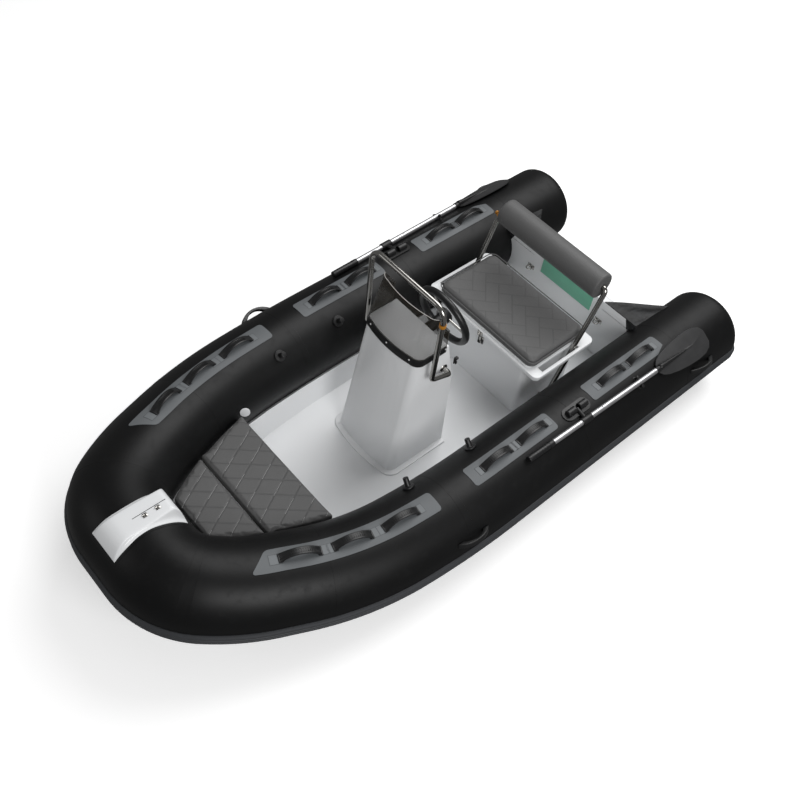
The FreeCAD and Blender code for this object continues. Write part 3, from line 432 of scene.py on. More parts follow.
def amber_plastic():
    made = Finish("Amber plastic")
    colour = tuple(sizes("boat_colours").amber)
    cloud = made.noise(120.0, 3.0)
    base = made.mix(cloud, shade(colour, 0.8), shade(colour, 1.15))
    made.set(Base_Color=base, Roughness=cloud * 0.1 + 0.25)
    return made.material


# Pale grey for the screen's thin edges: a painted highlight along them
def edge_highlight_paint():
    made = Finish("Acrylic edge highlight")
    haze = made.noise(40.0, 3.0)
    made.set(Base_Color=made.mix(haze, (0.16, 0.15, 0.14), (0.26, 0.25, 0.23)), Roughness=haze * 0.1 + 0.22)
    return made.material


def screw_white():
    made = Finish("Screw cap")
    cloud = made.noise(300.0, 2.0)
    made.set(Base_Color=made.mix(cloud, (0.66, 0.66, 0.66), (0.78, 0.78, 0.78)), Roughness=cloud * 0.1 + 0.28)
    return made.material


def flap_fabric():
    made = Finish("Flap fabric")
    colour = tuple(sizes("boat_colours").tube)
    fold = made.noise(14.0, 5.0, 0.65, made.stretched(1.0, 2.2, 1.0))
    # Lighter where the fold noise is high, the same noise that raises the folds' bump
    raised_fold = made.ramp(fold, (0.44, 0.0), (0.62, 1.0))
    base = made.mix(raised_fold, shade(colour, 1.4), shade(colour, 8.0))
    made.set(Base_Color=base, Roughness=raised_fold * 0.1 + 0.42, Specular_IOR_Level=0.30)
    made.bump(fold, 0.006, 0.8)
    return made.material


def floor_paint():
    made = Finish("Floor")
    made.set(Base_Color=(0.88, 0.88, 0.88), Roughness=0.9, Emission_Color=(1, 1, 1), Emission_Strength=0.35)
    return made.material


FINISHES = {}


def finish(maker):
    if maker not in FINISHES:
        FINISHES[maker] = maker()
    return FINISHES[maker]


CAD_FINISHES = {
    "fabric_black": tube_fabric,
    "strake_grey": strake_rubber,
    "gelcoat_white": gelcoat,
    "pad_grey": pad_fabric,
    "black_plastic": black_moulding,
    "cushion_grey": cushion_vinyl,
    "stainless": stainless,
    "aluminium": bright_aluminium,
    "smoked_acrylic": smoked_acrylic,
    "plate_green": clamp_board,
    "amber": amber_plastic,
}


# Meshes
def mesh_piece(name, points, faces, maker, smooth=True):
    mesh = bpy.data.meshes.new(name)
    mesh.from_pydata([tuple(point) for point in points], [], faces)
    made = bpy.data.objects.new(name, mesh)
    bpy.context.scene.collection.objects.link(made)
    mesh.materials.append(finish(maker))
    tidy = bmesh.new()
    tidy.from_mesh(mesh)
    bmesh.ops.recalc_face_normals(tidy, faces=tidy.faces)
    tidy.to_mesh(mesh)
    tidy.free()
    if smooth:
        mesh.polygons.foreach_set("use_smooth", [True] * len(mesh.polygons))
    return made


# Faces between rows of points: across wraps each row, along wraps the rows
def grid_faces(rows, columns, across=True, along=False):
    faces = []
    row_count = rows if along else rows - 1
    column_count = columns if across else columns - 1
    for i in range(row_count):
        for j in range(column_count):
            here, ahead = i * columns, (i + 1) % rows * columns
            beside = (j + 1) % columns
            faces.append((here + j, here + beside, ahead + beside, ahead + j))
    return faces


# Skin over rings of points: open rows end in caps, or the last row joins the first
def skin(name, rows, maker, along=False, caps=True):
    columns = len(rows[0])
    points = [point for row in rows for point in row]
    faces = grid_faces(len(rows), columns, True, along)
    if caps and not along:
        faces.append(tuple(reversed(range(columns))))
        faces.append(tuple(range(len(points) - columns, len(points))))
    return mesh_piece(name, points, faces, maker)


# Gives a piece its body and hides the CAD nodes that it stands for
def settle(piece, body, slot, *nodes):
    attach(piece, body)
    if nodes:
        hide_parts(*nodes)
    return piece


def joined(name, pieces):
    bpy.ops.object.select_all(action="DESELECT")
    for piece in pieces:
        piece.select_set(True)
    bpy.context.view_layer.objects.active = pieces[0]
    bpy.ops.object.join()
    made = bpy.context.view_layer.objects.active
    made.name = name
    made.data.name = name
    return made


def bake_modifiers(piece):
    graph = bpy.context.evaluated_depsgraph_get()
    mesh = bpy.data.meshes.new_from_object(piece.evaluated_get(graph))
    piece.modifiers.clear()
    piece.data = mesh
    return piece


# Edges that turn by more than this many degrees are rounded, and shaded sharp
EDGE_ANGLE = 35.0
SHADE_ANGLE = 38.0
ROUND_ANGLE = 30.0
LATHE_ANGLE = 32.0
STRAP_ANGLE = 40.0
FINE_ANGLE = 50.0
BAR_ANGLE = 60.0


def bevel(piece, width, segments=3, angle=EDGE_ANGLE):
    made = piece.modifiers.new("Edges", "BEVEL")
    made.width = width
    made.segments = segments
    made.limit_method = "ANGLE"
    made.angle_limit = math.radians(angle)
    return bake_modifiers(piece)


# Rounds only the edges that stand out, not the inner corners
def bevel_outer(piece, width):
    work = bmesh.new()
    work.from_mesh(piece.data)
    sharp = [edge for edge in work.edges
             if edge.is_convex and edge.calc_face_angle(0.0) > math.radians(EDGE_ANGLE)]
    bmesh.ops.bevel(work, geom=sharp, offset=width, segments=3, profile=0.5, affect="EDGES",
                    clamp_overlap=True)
    work.to_mesh(piece.data)
    work.free()
    return piece


# Centre line of the tube: straights joined by tangent arcs, port tail to starboard tail
PLAN_SHARES = ((0.0, 1.0), (0.429, 0.925), (0.8186, 0.630), (1.0, 0.3716))
SHEER_START_SHARE = 0.0757
ARC_STEPS_LEAST = 4
TURN_LEAST = 1e-5


def route_corners():
    tube = sizes("tube_sizes")
    tail = low("tube_port").x + tube.dome
    run = high("tube_bow").x - tube.radius - tube.turn_start
    corners = [Vector((tail, tube.spacing, tube.height))]
    for share, half_share in PLAN_SHARES:
        rise = max(0.0, share - SHEER_START_SHARE) / (1 - SHEER_START_SHARE)
        corners.append(Vector((tube.turn_start + run * share, tube.spacing * half_share,
                               tube.height + tube.sheer_rise * rise * rise)))
    return corners + [Vector((p.x, -p.y, p.z)) for p in reversed(corners)]


# Straights between the corners' arcs, each arc as wide as its shorter side allows
def rounded_route(corners, step):
    points = [corners[0]]
    count = len(corners)
    for i in range(1, count - 1):
        back = corners[i - 1] - corners[i]
        ahead = corners[i + 1] - corners[i]
        before = back.length if i == 1 else back.length / 2
        after = ahead.length if i == count - 2 else ahead.length / 2
        reach = min(before, after)
        half_turn = (math.pi - back.angle(ahead)) / 2
        radius = reach / math.tan(half_turn)
        inward = (back.normalized() + ahead.normalized()).normalized()
        centre = corners[i] + inward * math.hypot(radius, reach)
        start = corners[i] + back.normalized() * reach - centre
        end = corners[i] + ahead.normalized() * reach - centre
        points += straight(points[-1], centre + start, step)
        pieces = max(ARC_STEPS_LEAST, math.ceil(radius * 2 * half_turn / step))
        for k in range(1, pieces + 1):
            points.append(centre + swung(start, end, k / pieces))
    points += straight(points[-1], corners[-1], step)
    return points


# Turns one arm of an arc towards the other, both of one length
def swung(start, end, share):
    turn = start.angle(end)
    if turn < TURN_LEAST:
        return start.lerp(end, share)
    return (start * math.sin((1 - share) * turn) + end * math.sin(share * turn)) / math.sin(turn)


def straight(start, end, step):
    length = (end - start).length
    pieces = math.ceil(length / step)
    if length < step / 10:
        return []
    return [start.lerp(end, k / pieces) for k in range(1, pieces + 1)]


# Points on the tube's axis with the directions along, outboard and up at each
class TubeLine:
    def __init__(self):
        self.points = rounded_route(route_corners(), PATH_STEP)
        self.frames = []
        last = len(self.points) - 1
        for i, point in enumerate(self.points):
            along = self.points[min(i + 1, last)] - self.points[max(i - 1, 0)]
            along.normalize()
            outboard = Vector((-along.y, along.x, 0)).normalized()
            up = outboard.cross(along)
            self.frames.append((point, along, outboard, up if up.z > 0 else -up))
        self.port = [f for f in self.frames if f[0].y > 0]

    # Frame on the port side at a station
    def at(self, x):
        for a, b in zip(self.port, self.port[1:]):
            if a[0].x <= x <= b[0].x:
                share = (x - a[0].x) / (b[0].x - a[0].x)
                return [p.lerp(q, share) for p, q in zip(a, b)]
        return list(self.port[-1])

    # Point on the port tube's skin: station, angle outboard from the top, height over the skin
    def on(self, x, angle, height=0.0):
        centre, _, outboard, up = self.at(x)
        reach = sizes("tube_sizes").radius + height
        return centre + outboard * (reach * math.sin(angle)) + up * (reach * math.cos(angle))

    def normal(self, x, angle):
        _, _, outboard, up = self.at(x)
        return outboard * math.sin(angle) + up * math.cos(angle)


def mirrored(points):
    return [Vector((p.x, -p.y, p.z)) for p in points]


LINE = []


def tube_line():
    if not LINE:
        LINE.append(TubeLine())
    return LINE[0]


MERGE_DISTANCE = 0.00003
FLAT_ANGLE = math.radians(1.2)


# Copy of a CAD piece, its doubled points merged and its flat facets joined
def merged_copy(node, name, maker):
    source = frame["nodes"][node]
    mesh = source.data.copy()
    mesh.name = name
    made = bpy.data.objects.new(name, mesh)
    bpy.context.scene.collection.objects.link(made)
    mesh.materials.clear()
    mesh.materials.append(finish(maker))
    tidy = bmesh.new()
    tidy.from_mesh(mesh)
    bmesh.ops.remove_doubles(tidy, verts=tidy.verts, dist=MERGE_DISTANCE)
    bmesh.ops.dissolve_limit(tidy, angle_limit=FLAT_ANGLE, verts=tidy.verts, edges=tidy.edges)
    tidy.to_mesh(mesh)
    tidy.free()
    return made


def smooth_by_angle(piece, angle=SHADE_ANGLE):
    piece.data.polygons.foreach_set("use_smooth", [True] * len(piece.data.polygons))
    piece.data.set_sharp_from_angle(angle=math.radians(angle))
    return piece


# Copy of a CAD piece with its edges rounded, in the CAD piece's place
def rounded_copy(node, name, maker, width, body=ROOT, slot="gelcoat_white", angle=EDGE_ANGLE):
    made = merged_copy(node, name, maker)
    if width > 0:
        bevel(made, width, angle=angle)
    smooth_by_angle(made)
    return settle(made, body, slot, node)


# Round bar along points, its radius scaled by taper from 0 at one end to 1 at the other
def bar(name, points, radius, maker, sides, taper):
    rows = []
    side = None
    last = len(points) - 1
    for i, point in enumerate(points):
        along = (points[min(i + 1, last)] - points[max(i - 1, 0)]).normalized()
        side = along.orthogonal() if side is None else side - along * side.dot(along)
        side.normalize()
        other = along.cross(side)
        reach = radius * taper(i / last)
        rows.append([point + (side * math.cos(t) + other * math.sin(t)) * reach
                     for t in (2 * math.pi * k / sides for k in range(sides))])
    return skin(name, rows, maker)


TIP_RADIUS = 0.00004


# Solid of revolution: profile of (distance along the axis, radius)
def lathe(name, profile, start, axis, maker, sides):
    axis = Vector(axis).normalized()
    side = axis.orthogonal().normalized()
    other = axis.cross(side)
    rows = []
    for along, radius in profile:
        reach = max(radius, TIP_RADIUS)
        rows.append([start + axis * along + (side * math.cos(t) + other * math.sin(t)) * reach
                     for t in (2 * math.pi * k / sides for k in range(sides))])
    return smooth_by_angle(skin(name, rows, maker), LATHE_ANGLE)


BOX_CORNERS = tuple((x, y, z) for z in (-1, 1) for x, y in ((-1, -1), (1, -1), (1, 1), (-1, 1)))
BOX_FACES = ((3, 2, 1, 0), (4, 5, 6, 7), (0, 1, 5, 4), (1, 2, 6, 5), (2, 3, 7, 6), (3, 0, 4, 7))
XYZ = (Vector((1, 0, 0)), Vector((0, 1, 0)), Vector((0, 0, 1)))
BLOCK_EDGE_STEPS = 2


# Box with its own axes, edges rounded by width
def block(name, centre, axes, extents, maker, width):
    points = []
    for signs in BOX_CORNERS:
        offsets = [axis * (sign * extent / 2) for axis, sign, extent in zip(axes, signs, extents)]
        points.append(centre + offsets[0] + offsets[1] + offsets[2])
    made = mesh_piece(name, points, BOX_FACES, maker, smooth=False)
    if width > 0:
        bevel(made, width, BLOCK_EDGE_STEPS)
    return smooth_by_angle(made)


# Blocks set round a place, each with its offset and its size
def blocks(name, place, layout, maker, width):
    return [block(name, place + Vector(offset), XYZ, size, maker, width) for offset, size in layout]


# Closed sheet between an upper and a lower grid of points
def thick_sheet(name, upper, lower, maker):
    rows, columns = len(upper), len(upper[0])
    points = [p for row in upper for p in row] + [p for row in lower for p in row]
    base = rows * columns
    top = grid_faces(rows, columns, across=False)
    faces = top + [tuple(base + i for i in reversed(face)) for face in top]
    rim = [j for j in range(columns)]
    rim += [i * columns + columns - 1 for i in range(1, rows)]
    rim += [(rows - 1) * columns + j for j in range(columns - 2, -1, -1)]
    rim += [i * columns for i in range(rows - 2, 0, -1)]
    for a, b in zip(rim, rim[1:] + rim[:1]):
        faces.append((a, a + base, b + base, b))
    return mesh_piece(name, points, faces, maker)


def smooth_step(value):
    value = min(1.0, max(0.0, value))
    return value * value * (3 - 2 * value)


# Geometry Nodes: a small bar set on every point of a mesh, turned by its own attribute
def repeat_tree():
    tree = bpy.data.node_groups.new("Repeat bar", "GeometryNodeTree")
    face = tree.interface
    face.new_socket("Geometry", in_out="INPUT", socket_type="NodeSocketGeometry")
    for label in BAR_LABELS:
        face.new_socket(label, in_out="INPUT", socket_type="NodeSocketFloat")
    face.new_socket("Material", in_out="INPUT", socket_type="NodeSocketMaterial")
    face.new_socket("Geometry", in_out="OUTPUT", socket_type="NodeSocketGeometry")
    entry = tree.nodes.new("NodeGroupInput")
    leave = tree.nodes.new("NodeGroupOutput")
    link = tree.links.new
    solid = tree.nodes.new("GeometryNodeMeshCube")
    combine = tree.nodes.new("ShaderNodeCombineXYZ")
    for i, label in enumerate(BAR_LABELS):
        link(entry.outputs[label], combine.inputs[i])
    link(combine.outputs[0], solid.inputs["Size"])
    turn = tree.nodes.new("GeometryNodeInputNamedAttribute")
    turn.data_type = "FLOAT_VECTOR"
    turn.inputs["Name"].default_value = "turn"
    put = tree.nodes.new("GeometryNodeInstanceOnPoints")
    link(entry.outputs["Geometry"], put.inputs["Points"])
    link(solid.outputs["Mesh"], put.inputs["Instance"])
    link(turn.outputs["Attribute"], put.inputs["Rotation"])
    real = tree.nodes.new("GeometryNodeRealizeInstances")
    link(put.outputs["Instances"], real.inputs["Geometry"])
    paint = tree.nodes.new("GeometryNodeSetMaterial")
    link(real.outputs["Geometry"], paint.inputs["Geometry"])
    link(entry.outputs["Material"], paint.inputs["Material"])
    link(paint.outputs["Geometry"], leave.inputs["Geometry"])
    return tree


BAR_LABELS = ("Length", "Width", "Height")
TREES = []


# places: (point, axis along, axis up); size: length, width and height of each copy
def repeated(name, places, size, maker):
    if not TREES:
        TREES.append(repeat_tree())
    tree = TREES[0]
    mesh = bpy.data.meshes.new(name)
    mesh.from_pydata([tuple(place[0]) for place in places], [], [])
    turn = mesh.attributes.new("turn", "FLOAT_VECTOR", "POINT")
    for i, (_, along, up) in enumerate(places):
        side = up.cross(along).normalized()
        true_up = along.normalized().cross(side)
        matrix = Matrix((along.normalized(), side, true_up)).transposed()
        turn.data[i].vector = tuple(matrix.to_euler())
    made = bpy.data.objects.new(name, mesh)
    bpy.context.scene.collection.objects.link(made)
    modifier = made.modifiers.new("Repeat", "NODES")
    modifier.node_group = tree
    given = dict(zip((*BAR_LABELS, "Material"), (*size, finish(maker))))
    for item in tree.interface.items_tree:
        if item.in_out == "INPUT" and item.name in given:
            modifier[item.identifier] = given[item.name]
    bake_modifiers(made)
    return smooth_by_angle(made, STRAP_ANGLE)


# A tail's dome stops short of its pole, where a small flat end closes it
DOME_STEPS = 14
DOME_SHARE = 0.985


def tube_rings():
    tube = sizes("tube_sizes")
    frames = tube_line().frames
    rings = []
    for end, sign in ((0, 1), (-1, -1)):
        centre, along, outboard, up = frames[end]
        dome = []
        for k in range(DOME_STEPS):
            turn = HALF_PI * (1 - k / DOME_STEPS) * DOME_SHARE
            dome.append((centre - along * (sign * tube.dome * math.sin(turn)), outboard, up,
                         tube.radius * math.cos(turn)))
        rings.append(dome)
    body = [(centre, outboard, up, tube.radius) for centre, _, outboard, up in frames]
    return rings[0] + body + rings[1][::-1]


def ring_points(centre, outboard, up, radius, steps):
    return [centre + (outboard * math.sin(t) + up * math.cos(t)) * radius
            for t in (2 * math.pi * k / steps for k in range(steps))]


class BOAT_OT_tubes(bpy.types.Operator):
    """Buoyancy tube with its domed tails and glued seam tapes"""
    bl_idname = "boat.tubes"
    bl_label = "Tubes"

    # Distances of the tapes from the middle of the bow
    TAPE_DISTANCES = (0.30, 0.86, 1.52, 2.30, 3.06)
    # A tape's section in shares of its half width and its height
    TAPE_SECTION_SHARES = ((-1.0, -0.2), (-0.97, 1.0), (0.97, 1.0), (1.0, -0.2))
    # The last ring stays just short of the last frame
    END_MARGIN = 1.001

    def execute(self, context):
        rows = [ring_points(*ring, RING_STEPS) for ring in tube_rings()]
        made = skin("tube_skin", rows, tube_fabric)
        settle(made, ROOT, "fabric_black", "tube_port", "tube_starboard", "tube_bow")
        settle(self.tapes(), ROOT, "fabric_black")
        return {"FINISHED"}

    # Tapes round the tube, set between the frames of its line
    def tapes(self):
        tube = sizes("tube_sizes")
        frames = tube_line().frames
        middle_index = len(frames) / 2
        half = tube.seam_width / 2 / PATH_STEP
        pieces = []
        for distance in self.TAPE_DISTANCES:
            for sign in (1, -1):
                centre_index = middle_index + sign * distance / PATH_STEP
                rows = []
                for shift, lift in self.TAPE_SECTION_SHARES:
                    place = min(max(centre_index + half * shift, 0.0), len(frames) - self.END_MARGIN)
                    i = int(place)
                    centre, _, outboard, up = [
                        a.lerp(b, place - i) for a, b in zip(frames[i], frames[i + 1])]
                    rows.append(ring_points(centre, outboard, up, tube.radius + tube.seam_height * lift,
                                            RING_STEPS))
                made = skin("tape", rows, tube_fabric, caps=False)
                pieces.append(smooth_by_angle(made, ROUND_ANGLE))
        return joined("seam_tapes", pieces)


# Rub strake: share of its height from the top, share of how proud it stands, and whether it follows the skin
STRAKE_PROFILE_SHARES = (
    (0.00, 0.00, 1), (0.00, 0.30, 1), (0.05, 0.42, 1), (0.13, 0.55, 0), (0.18, 0.94, 0), (0.22, 1.00, 0),
    (0.30, 1.00, 0), (0.34, 0.92, 0), (0.37, 0.66, 0), (0.42, 0.66, 0), (0.45, 0.92, 0), (0.48, 1.00, 0),
    (0.55, 1.00, 0), (0.58, 0.92, 0), (0.61, 0.66, 0), (0.66, 0.66, 0), (0.69, 0.92, 0), (0.72, 1.00, 0),
    (0.79, 1.00, 0), (0.83, 0.90, 0), (0.88, 0.50, 0), (0.95, 0.42, 1), (1.00, 0.30, 1), (1.00, 0.00, 1),
    (0.75, 0.00, 1), (0.50, 0.00, 1), (0.25, 0.00, 1))
STRAKE_HEIGHT = 0.070
STRAKE_PROUD = 0.0118
STRAKE_DROP = 0.020
STRAKE_TAIL_STEPS = 22


class BOAT_OT_strake(bpy.types.Operator):
    """Ribbed rub strake round the outside of the tube and its tails"""
    bl_idname = "boat.strake"
    bl_label = "Rub strake"

    def execute(self, context):
        radius = sizes("tube_sizes").radius
        frames = tube_line().frames
        rows = []
        for k in range(STRAKE_TAIL_STEPS):
            rows.append(self.tail_row(frames[0], 1, HALF_PI * (1 - k / STRAKE_TAIL_STEPS)))
        for centre, _, outboard, _ in frames:
            rows.append([centre + outboard * (radius * (self.hug(level) if follows else 1.0) + proud)
                         + Vector((0, 0, level)) for level, proud, follows in self.profile()])
        for k in range(STRAKE_TAIL_STEPS):
            rows.append(self.tail_row(frames[-1], -1, HALF_PI * (k + 1) / STRAKE_TAIL_STEPS))
        made = smooth_by_angle(skin("strake_ribbed", rows, strake_rubber), FINE_ANGLE)
        settle(made, ROOT, "strake_grey", "rub_strake")
        return {"FINISHED"}

    def profile(self):
        top = STRAKE_HEIGHT / 2 - STRAKE_DROP
        return [(top - STRAKE_HEIGHT * share, STRAKE_PROUD * proud, follows)
                for share, proud, follows in STRAKE_PROFILE_SHARES]

    # Share of the tube's radius that is left at a level
    def hug(self, level):
        return math.sqrt(1 - (level / sizes("tube_sizes").radius) ** 2)

    # Row of the strake on a domed tail, turned towards its point
    def tail_row(self, end, sign, turn):
        tube = sizes("tube_sizes")
        centre, along, outboard, _ = end
        aft = along * -sign
        normal = (aft * (math.sin(turn) / tube.dome) + outboard * (math.cos(turn) / tube.radius)).normalized()
        row = []
        for level, proud, follows in self.profile():
            share = self.hug(level) if follows else 1.0
            row.append(centre + aft * (tube.dome * share * math.sin(turn))
                       + outboard * (tube.radius * share * math.cos(turn))
                       + normal * proud + Vector((0, 0, level)))
        return row


# Pads' ends and handles' middles, as distances forward of the transom
PAD_SPANS = {"aft": (0.063, 0.606), "mid": (0.858, 1.391), "forward": (1.592, 2.440)}
GRAB_STATIONS = {"aft": (0.216, 0.431), "mid": (0.990, 1.220), "forward": (1.782, 2.024, 2.250)}
GRAB_HALF = 0.093
GRAB_HEIGHT = 0.040
GRAB_WIDTH = 0.034
GRAB_STRAP = 0.006
GRAB_FOOT = 0.020
# Rows across a pad, closer at its edges
EDGE_SHARES = (0.0, 0.012, 0.035, 0.07, 0.12, 0.2, 0.35, 0.5, 0.65, 0.75, 0.82, 0.88, 0.93, 0.965, 0.988, 1.0)
CHAMFER_SHARE = 0.75
PAD_STEP = 0.02
PAD_STEPS_LEAST = 12
PATCH_STEPS = 4
# Rim and cloth of a handle's patch: share of its size, under and upper face in shares of the pad's thickness.
# The rim is darker as painted shade round the cloth's edge
PATCH_LAYERS = ((1.0, 0.9, 1.15, patch_rim_shade), (0.90, 1.1, 1.35, patch_fabric))


class BOAT_OT_pads(bpy.types.Operator):
    """Pads glued on top of the tube and the patches over the handles' feet"""
    bl_idname = "boat.pads"
    bl_label = "Pads"

    def execute(self, context):
        for side, sign in (("port", 1), ("starboard", -1)):
            pieces = [self.sheet(where, *span, sign) for where, span in PAD_SPANS.items()]
            for stations in GRAB_STATIONS.values():
                for station in stations:
                    pieces += self.patches(station, sign)
            made = smooth_by_angle(joined("pads_glued_" + side, pieces), ROUND_ANGLE)
            settle(made, ROOT, "pad_grey", "pads_" + side)
        return {"FINISHED"}

    def sheet(self, where, start, end, sign):
        pad = sizes("pad_sizes")
        width = (pad.outer_angle - pad.inner_angle) * sizes("tube_sizes").radius
        slant = pad.nose_slant if where == "forward" else 0.0
        chamfer = pad.chamfer if where == "aft" else 0.0

        def reach(share):
            edge = min(share, 1 - share) * width
            cut = pad.corner - math.sqrt(max(0.0, pad.corner ** 2 - max(0.0, pad.corner - edge) ** 2))
            notch = chamfer * max(0.0, share - CHAMFER_SHARE) / (1 - CHAMFER_SHARE)
            return start + max(cut, notch), end - slant * (1 - share) - cut
        return self.on_tube("pad", reach, (pad.inner_angle, pad.outer_angle), 0.0, pad.thickness, sign,
                            max(PAD_STEPS_LEAST, int((end - start) / PAD_STEP)))

    # Sheet on the tube between two heights; reach gives its ends at a share of the way across it
    def on_tube(self, name, reach, angles, base, height, sign, steps, maker=pad_fabric):
        line = tube_line()
        layers = []
        for lift in (height, base):
            rows = []
            for share in EDGE_SHARES:
                first, last = reach(share)
                angle = angles[0] + (angles[1] - angles[0]) * share
                row = [line.on(first + (last - first) * k / steps, angle, lift) for k in range(steps + 1)]
                rows.append(row if sign > 0 else mirrored(row))
            layers.append(rows)
        return thick_sheet(name, layers[0], layers[1], maker)

    def patches(self, station, sign):
        pad = sizes("pad_sizes")
        middle_angle = (pad.inner_angle + pad.outer_angle) / 2
        made = []
        for end in (-1, 1):
            centre = station + end * (GRAB_HALF - GRAB_FOOT / 2 + pad.patch_shift)
            for grow, low_share, high_share, maker in PATCH_LAYERS:
                half = pad.patch_length / 2 * grow
                spread = pad.patch_width / 2 * grow / sizes("tube_sizes").radius
                made.append(self.on_tube(
                    "patch", lambda share, c=centre, h=half: (c - h, c + h),
                    (middle_angle - spread, middle_angle + spread),
                    pad.thickness * low_share, pad.thickness * high_share, sign, PATCH_STEPS, maker))
        return made


class BOAT_OT_grips(bpy.types.Operator):
    """Grab handles on the pads: a ribbed strap arched between two feet"""
    bl_idname = "boat.grips"
    bl_label = "Grab handles"

    STRAP_STEPS = 28
    # Section of the strap: share of its width across, share of its thickness down
    STRAP_SECTION_SHARES = (
        (-0.42, 0.0), (-0.26, 0.0), (-0.20, 0.12), (0.20, 0.12), (0.26, 0.0), (0.42, 0.0),
        (0.5, 0.2), (0.5, 0.8), (0.42, 1.0), (-0.42, 1.0), (-0.5, 0.8), (-0.5, 0.2))
    # The strap widens to its feet by this share
    STRAP_FLARE = 0.22
    ARCH_DROP = 0.001
    INNER_FOOT_SHARE = 0.55
    SEAT_GAP = 0.0004
    FOOT_HEIGHT = 0.0045
    FOOT_LIFT = 0.0022
    FOOT_WIDTH_SHARE = 1.2
    FOOT_EDGE = 0.0014
    RIBS = 11
    # Share of the arch where the ribs start, and their span
    RIB_SPAN_SHARES = (0.27, 0.46)
    RIB_SIZE = (0.0028, GRAB_WIDTH * 0.62, 0.0016)
    RIB_LIFT = 0.0002

    def execute(self, context):
        for side, sign in (("port", 1), ("starboard", -1)):
            for where, stations in GRAB_STATIONS.items():
                pieces = []
                ribs = []
                for station in stations:
                    pieces += self.handle(station, sign)
                    ribs += self.rib_places(station, sign)
                pieces.append(repeated("ribs", ribs, self.RIB_SIZE, handle_rubber))
                name = "_%s_%s" % (side, where)
                made = joined("grips" + name, pieces)
                settle(made, ROOT, "black_plastic", "grab_handles" + name)
        return {"FINISHED"}

    # Place of a handle's base and its directions along, across and out
    def axes(self, station, sign):
        pad = sizes("pad_sizes")
        angle = (pad.inner_angle + pad.outer_angle) / 2
        line = tube_line()
        along = line.at(station)[1]
        radial = line.normal(station, angle)
        here = line.on(station, angle)
        reach = GRAB_HALF - GRAB_FOOT / 2
        rise = max(0.0, *((line.on(station + end * reach, angle) - here).dot(radial) for end in (-1, 1)))
        base = here + radial * (pad.thickness + self.SEAT_GAP + rise)
        if sign < 0:
            base, along, radial = mirrored([base, along, radial])
        return base, along, radial.cross(along).normalized(), radial

    # Arc of a face of the strap, sunk below the outer one by shrink: place along, height and slope
    def arc(self, share, shrink=0.0):
        half = GRAB_HALF - (GRAB_FOOT * self.INNER_FOOT_SHARE if shrink else 0.0)
        rise = GRAB_HEIGHT - self.ARCH_DROP - shrink
        radius = (half * half + rise * rise) / (2 * rise)
        widest = math.asin(half / radius)
        turn = widest * (2 * share - 1)
        return radius * math.sin(turn), radius * math.cos(turn) - (radius - rise), turn

    def handle(self, station, sign):
        base, along, beside, radial = self.axes(station, sign)
        rows = []
        for k in range(self.STRAP_STEPS + 1):
            share = k / self.STRAP_STEPS
            outer_x, outer_z, _ = self.arc(share)
            inner_x, inner_z, _ = self.arc(share, GRAB_STRAP)
            swell = 1.0 + self.STRAP_FLARE * abs(2 * share - 1) ** 3
            row = []
            for across, depth in self.STRAP_SECTION_SHARES:
                x = outer_x + (inner_x - outer_x) * depth
                z = outer_z + (inner_z - outer_z) * depth
                row.append(base + along * x + beside * (across * GRAB_WIDTH * swell) + radial * max(z, 0.0))
            rows.append(row)
        strap = smooth_by_angle(skin("strap", rows, handle_rubber), STRAP_ANGLE)
        made = [strap]
        for end in (-1, 1):
            centre = base + along * (end * (GRAB_HALF - GRAB_FOOT / 2)) + radial * self.FOOT_LIFT
            extents = (GRAB_FOOT, GRAB_WIDTH * self.FOOT_WIDTH_SHARE, self.FOOT_HEIGHT)
            made.append(block("foot", centre, (along, beside, radial), extents, handle_rubber,
                              self.FOOT_EDGE))
        return made

    def rib_places(self, station, sign):
        base, along, _, radial = self.axes(station, sign)
        first, span = self.RIB_SPAN_SHARES
        places = []
        for k in range(self.RIBS):
            share = first + span * k / (self.RIBS - 1)
            x, z, turn = self.arc(share)
            slope = along * math.cos(turn) - radial * math.sin(turn)
            up = radial * math.cos(turn) + along * math.sin(turn)
            places.append((base + along * x + radial * z + up * self.RIB_LIFT, slope, up))
        return places


# Where rays start: above, ahead and beside
RAY_HEIGHT = 3.0
RAY_AHEAD = 2.0
RAY_SIDE = 0.6


# A piece's surface for the rays below
def surface(piece):
    mesh = piece.data
    return BVHTree.FromPolygons([vertex.co for vertex in mesh.vertices],
                                [tuple(polygon.vertices) for polygon in mesh.polygons])


# Point of a surface seen from above
def top_at(tree, x, y):
    return tree.ray_cast(Vector((x, y, RAY_HEIGHT)), Vector((0, 0, -1)))[0]


# Point and normal of a surface seen from ahead
def front_at(tree, y, z):
    return tree.ray_cast(Vector((RAY_AHEAD, y, z)), Vector((-1, 0, 0)))[:2]


# Point and normal of a surface seen from one side
def side_at(tree, x, sign, z):
    return tree.ray_cast(Vector((x, sign * RAY_SIDE, z)), Vector((0, -sign, 0)))[:2]


# Sheet laid over a surface: rows of plan points, each dropped on it, then lifted
def laid(name, tree, rows, lift, thickness, maker):
    upper = []
    for row in rows:
        line = []
        for x, y in row:
            line.append(top_at(tree, x, y) + Vector((0, 0, lift + thickness)))
        upper.append(line)
    lower = [[point - Vector((0, 0, thickness)) for point in row] for row in upper]
    return thick_sheet(name, upper, lower, maker)


SEAM_REACH_SHARE = 4
SEAM_END_SHARE = 0.02


# Straight sewn lines in plan: start, end, and whether pale stitches show
class Seams:
    def __init__(self):
        self.lines = []

    def add(self, start, end, stitched=False):
        self.lines.append((Vector(start), Vector(end), stitched))

    # Distance from a point to the nearest seam, up to a reach
    def distance(self, point, reach):
        least = reach
        for start, end, _ in self.lines:
            run = end - start
            away = abs((point - start).cross(run)) / run.length
            if away < least:
                along = (point - start).dot(run) / run.length_squared
                if -SEAM_END_SHARE < along < 1 + SEAM_END_SHARE:
                    least = away
        return least


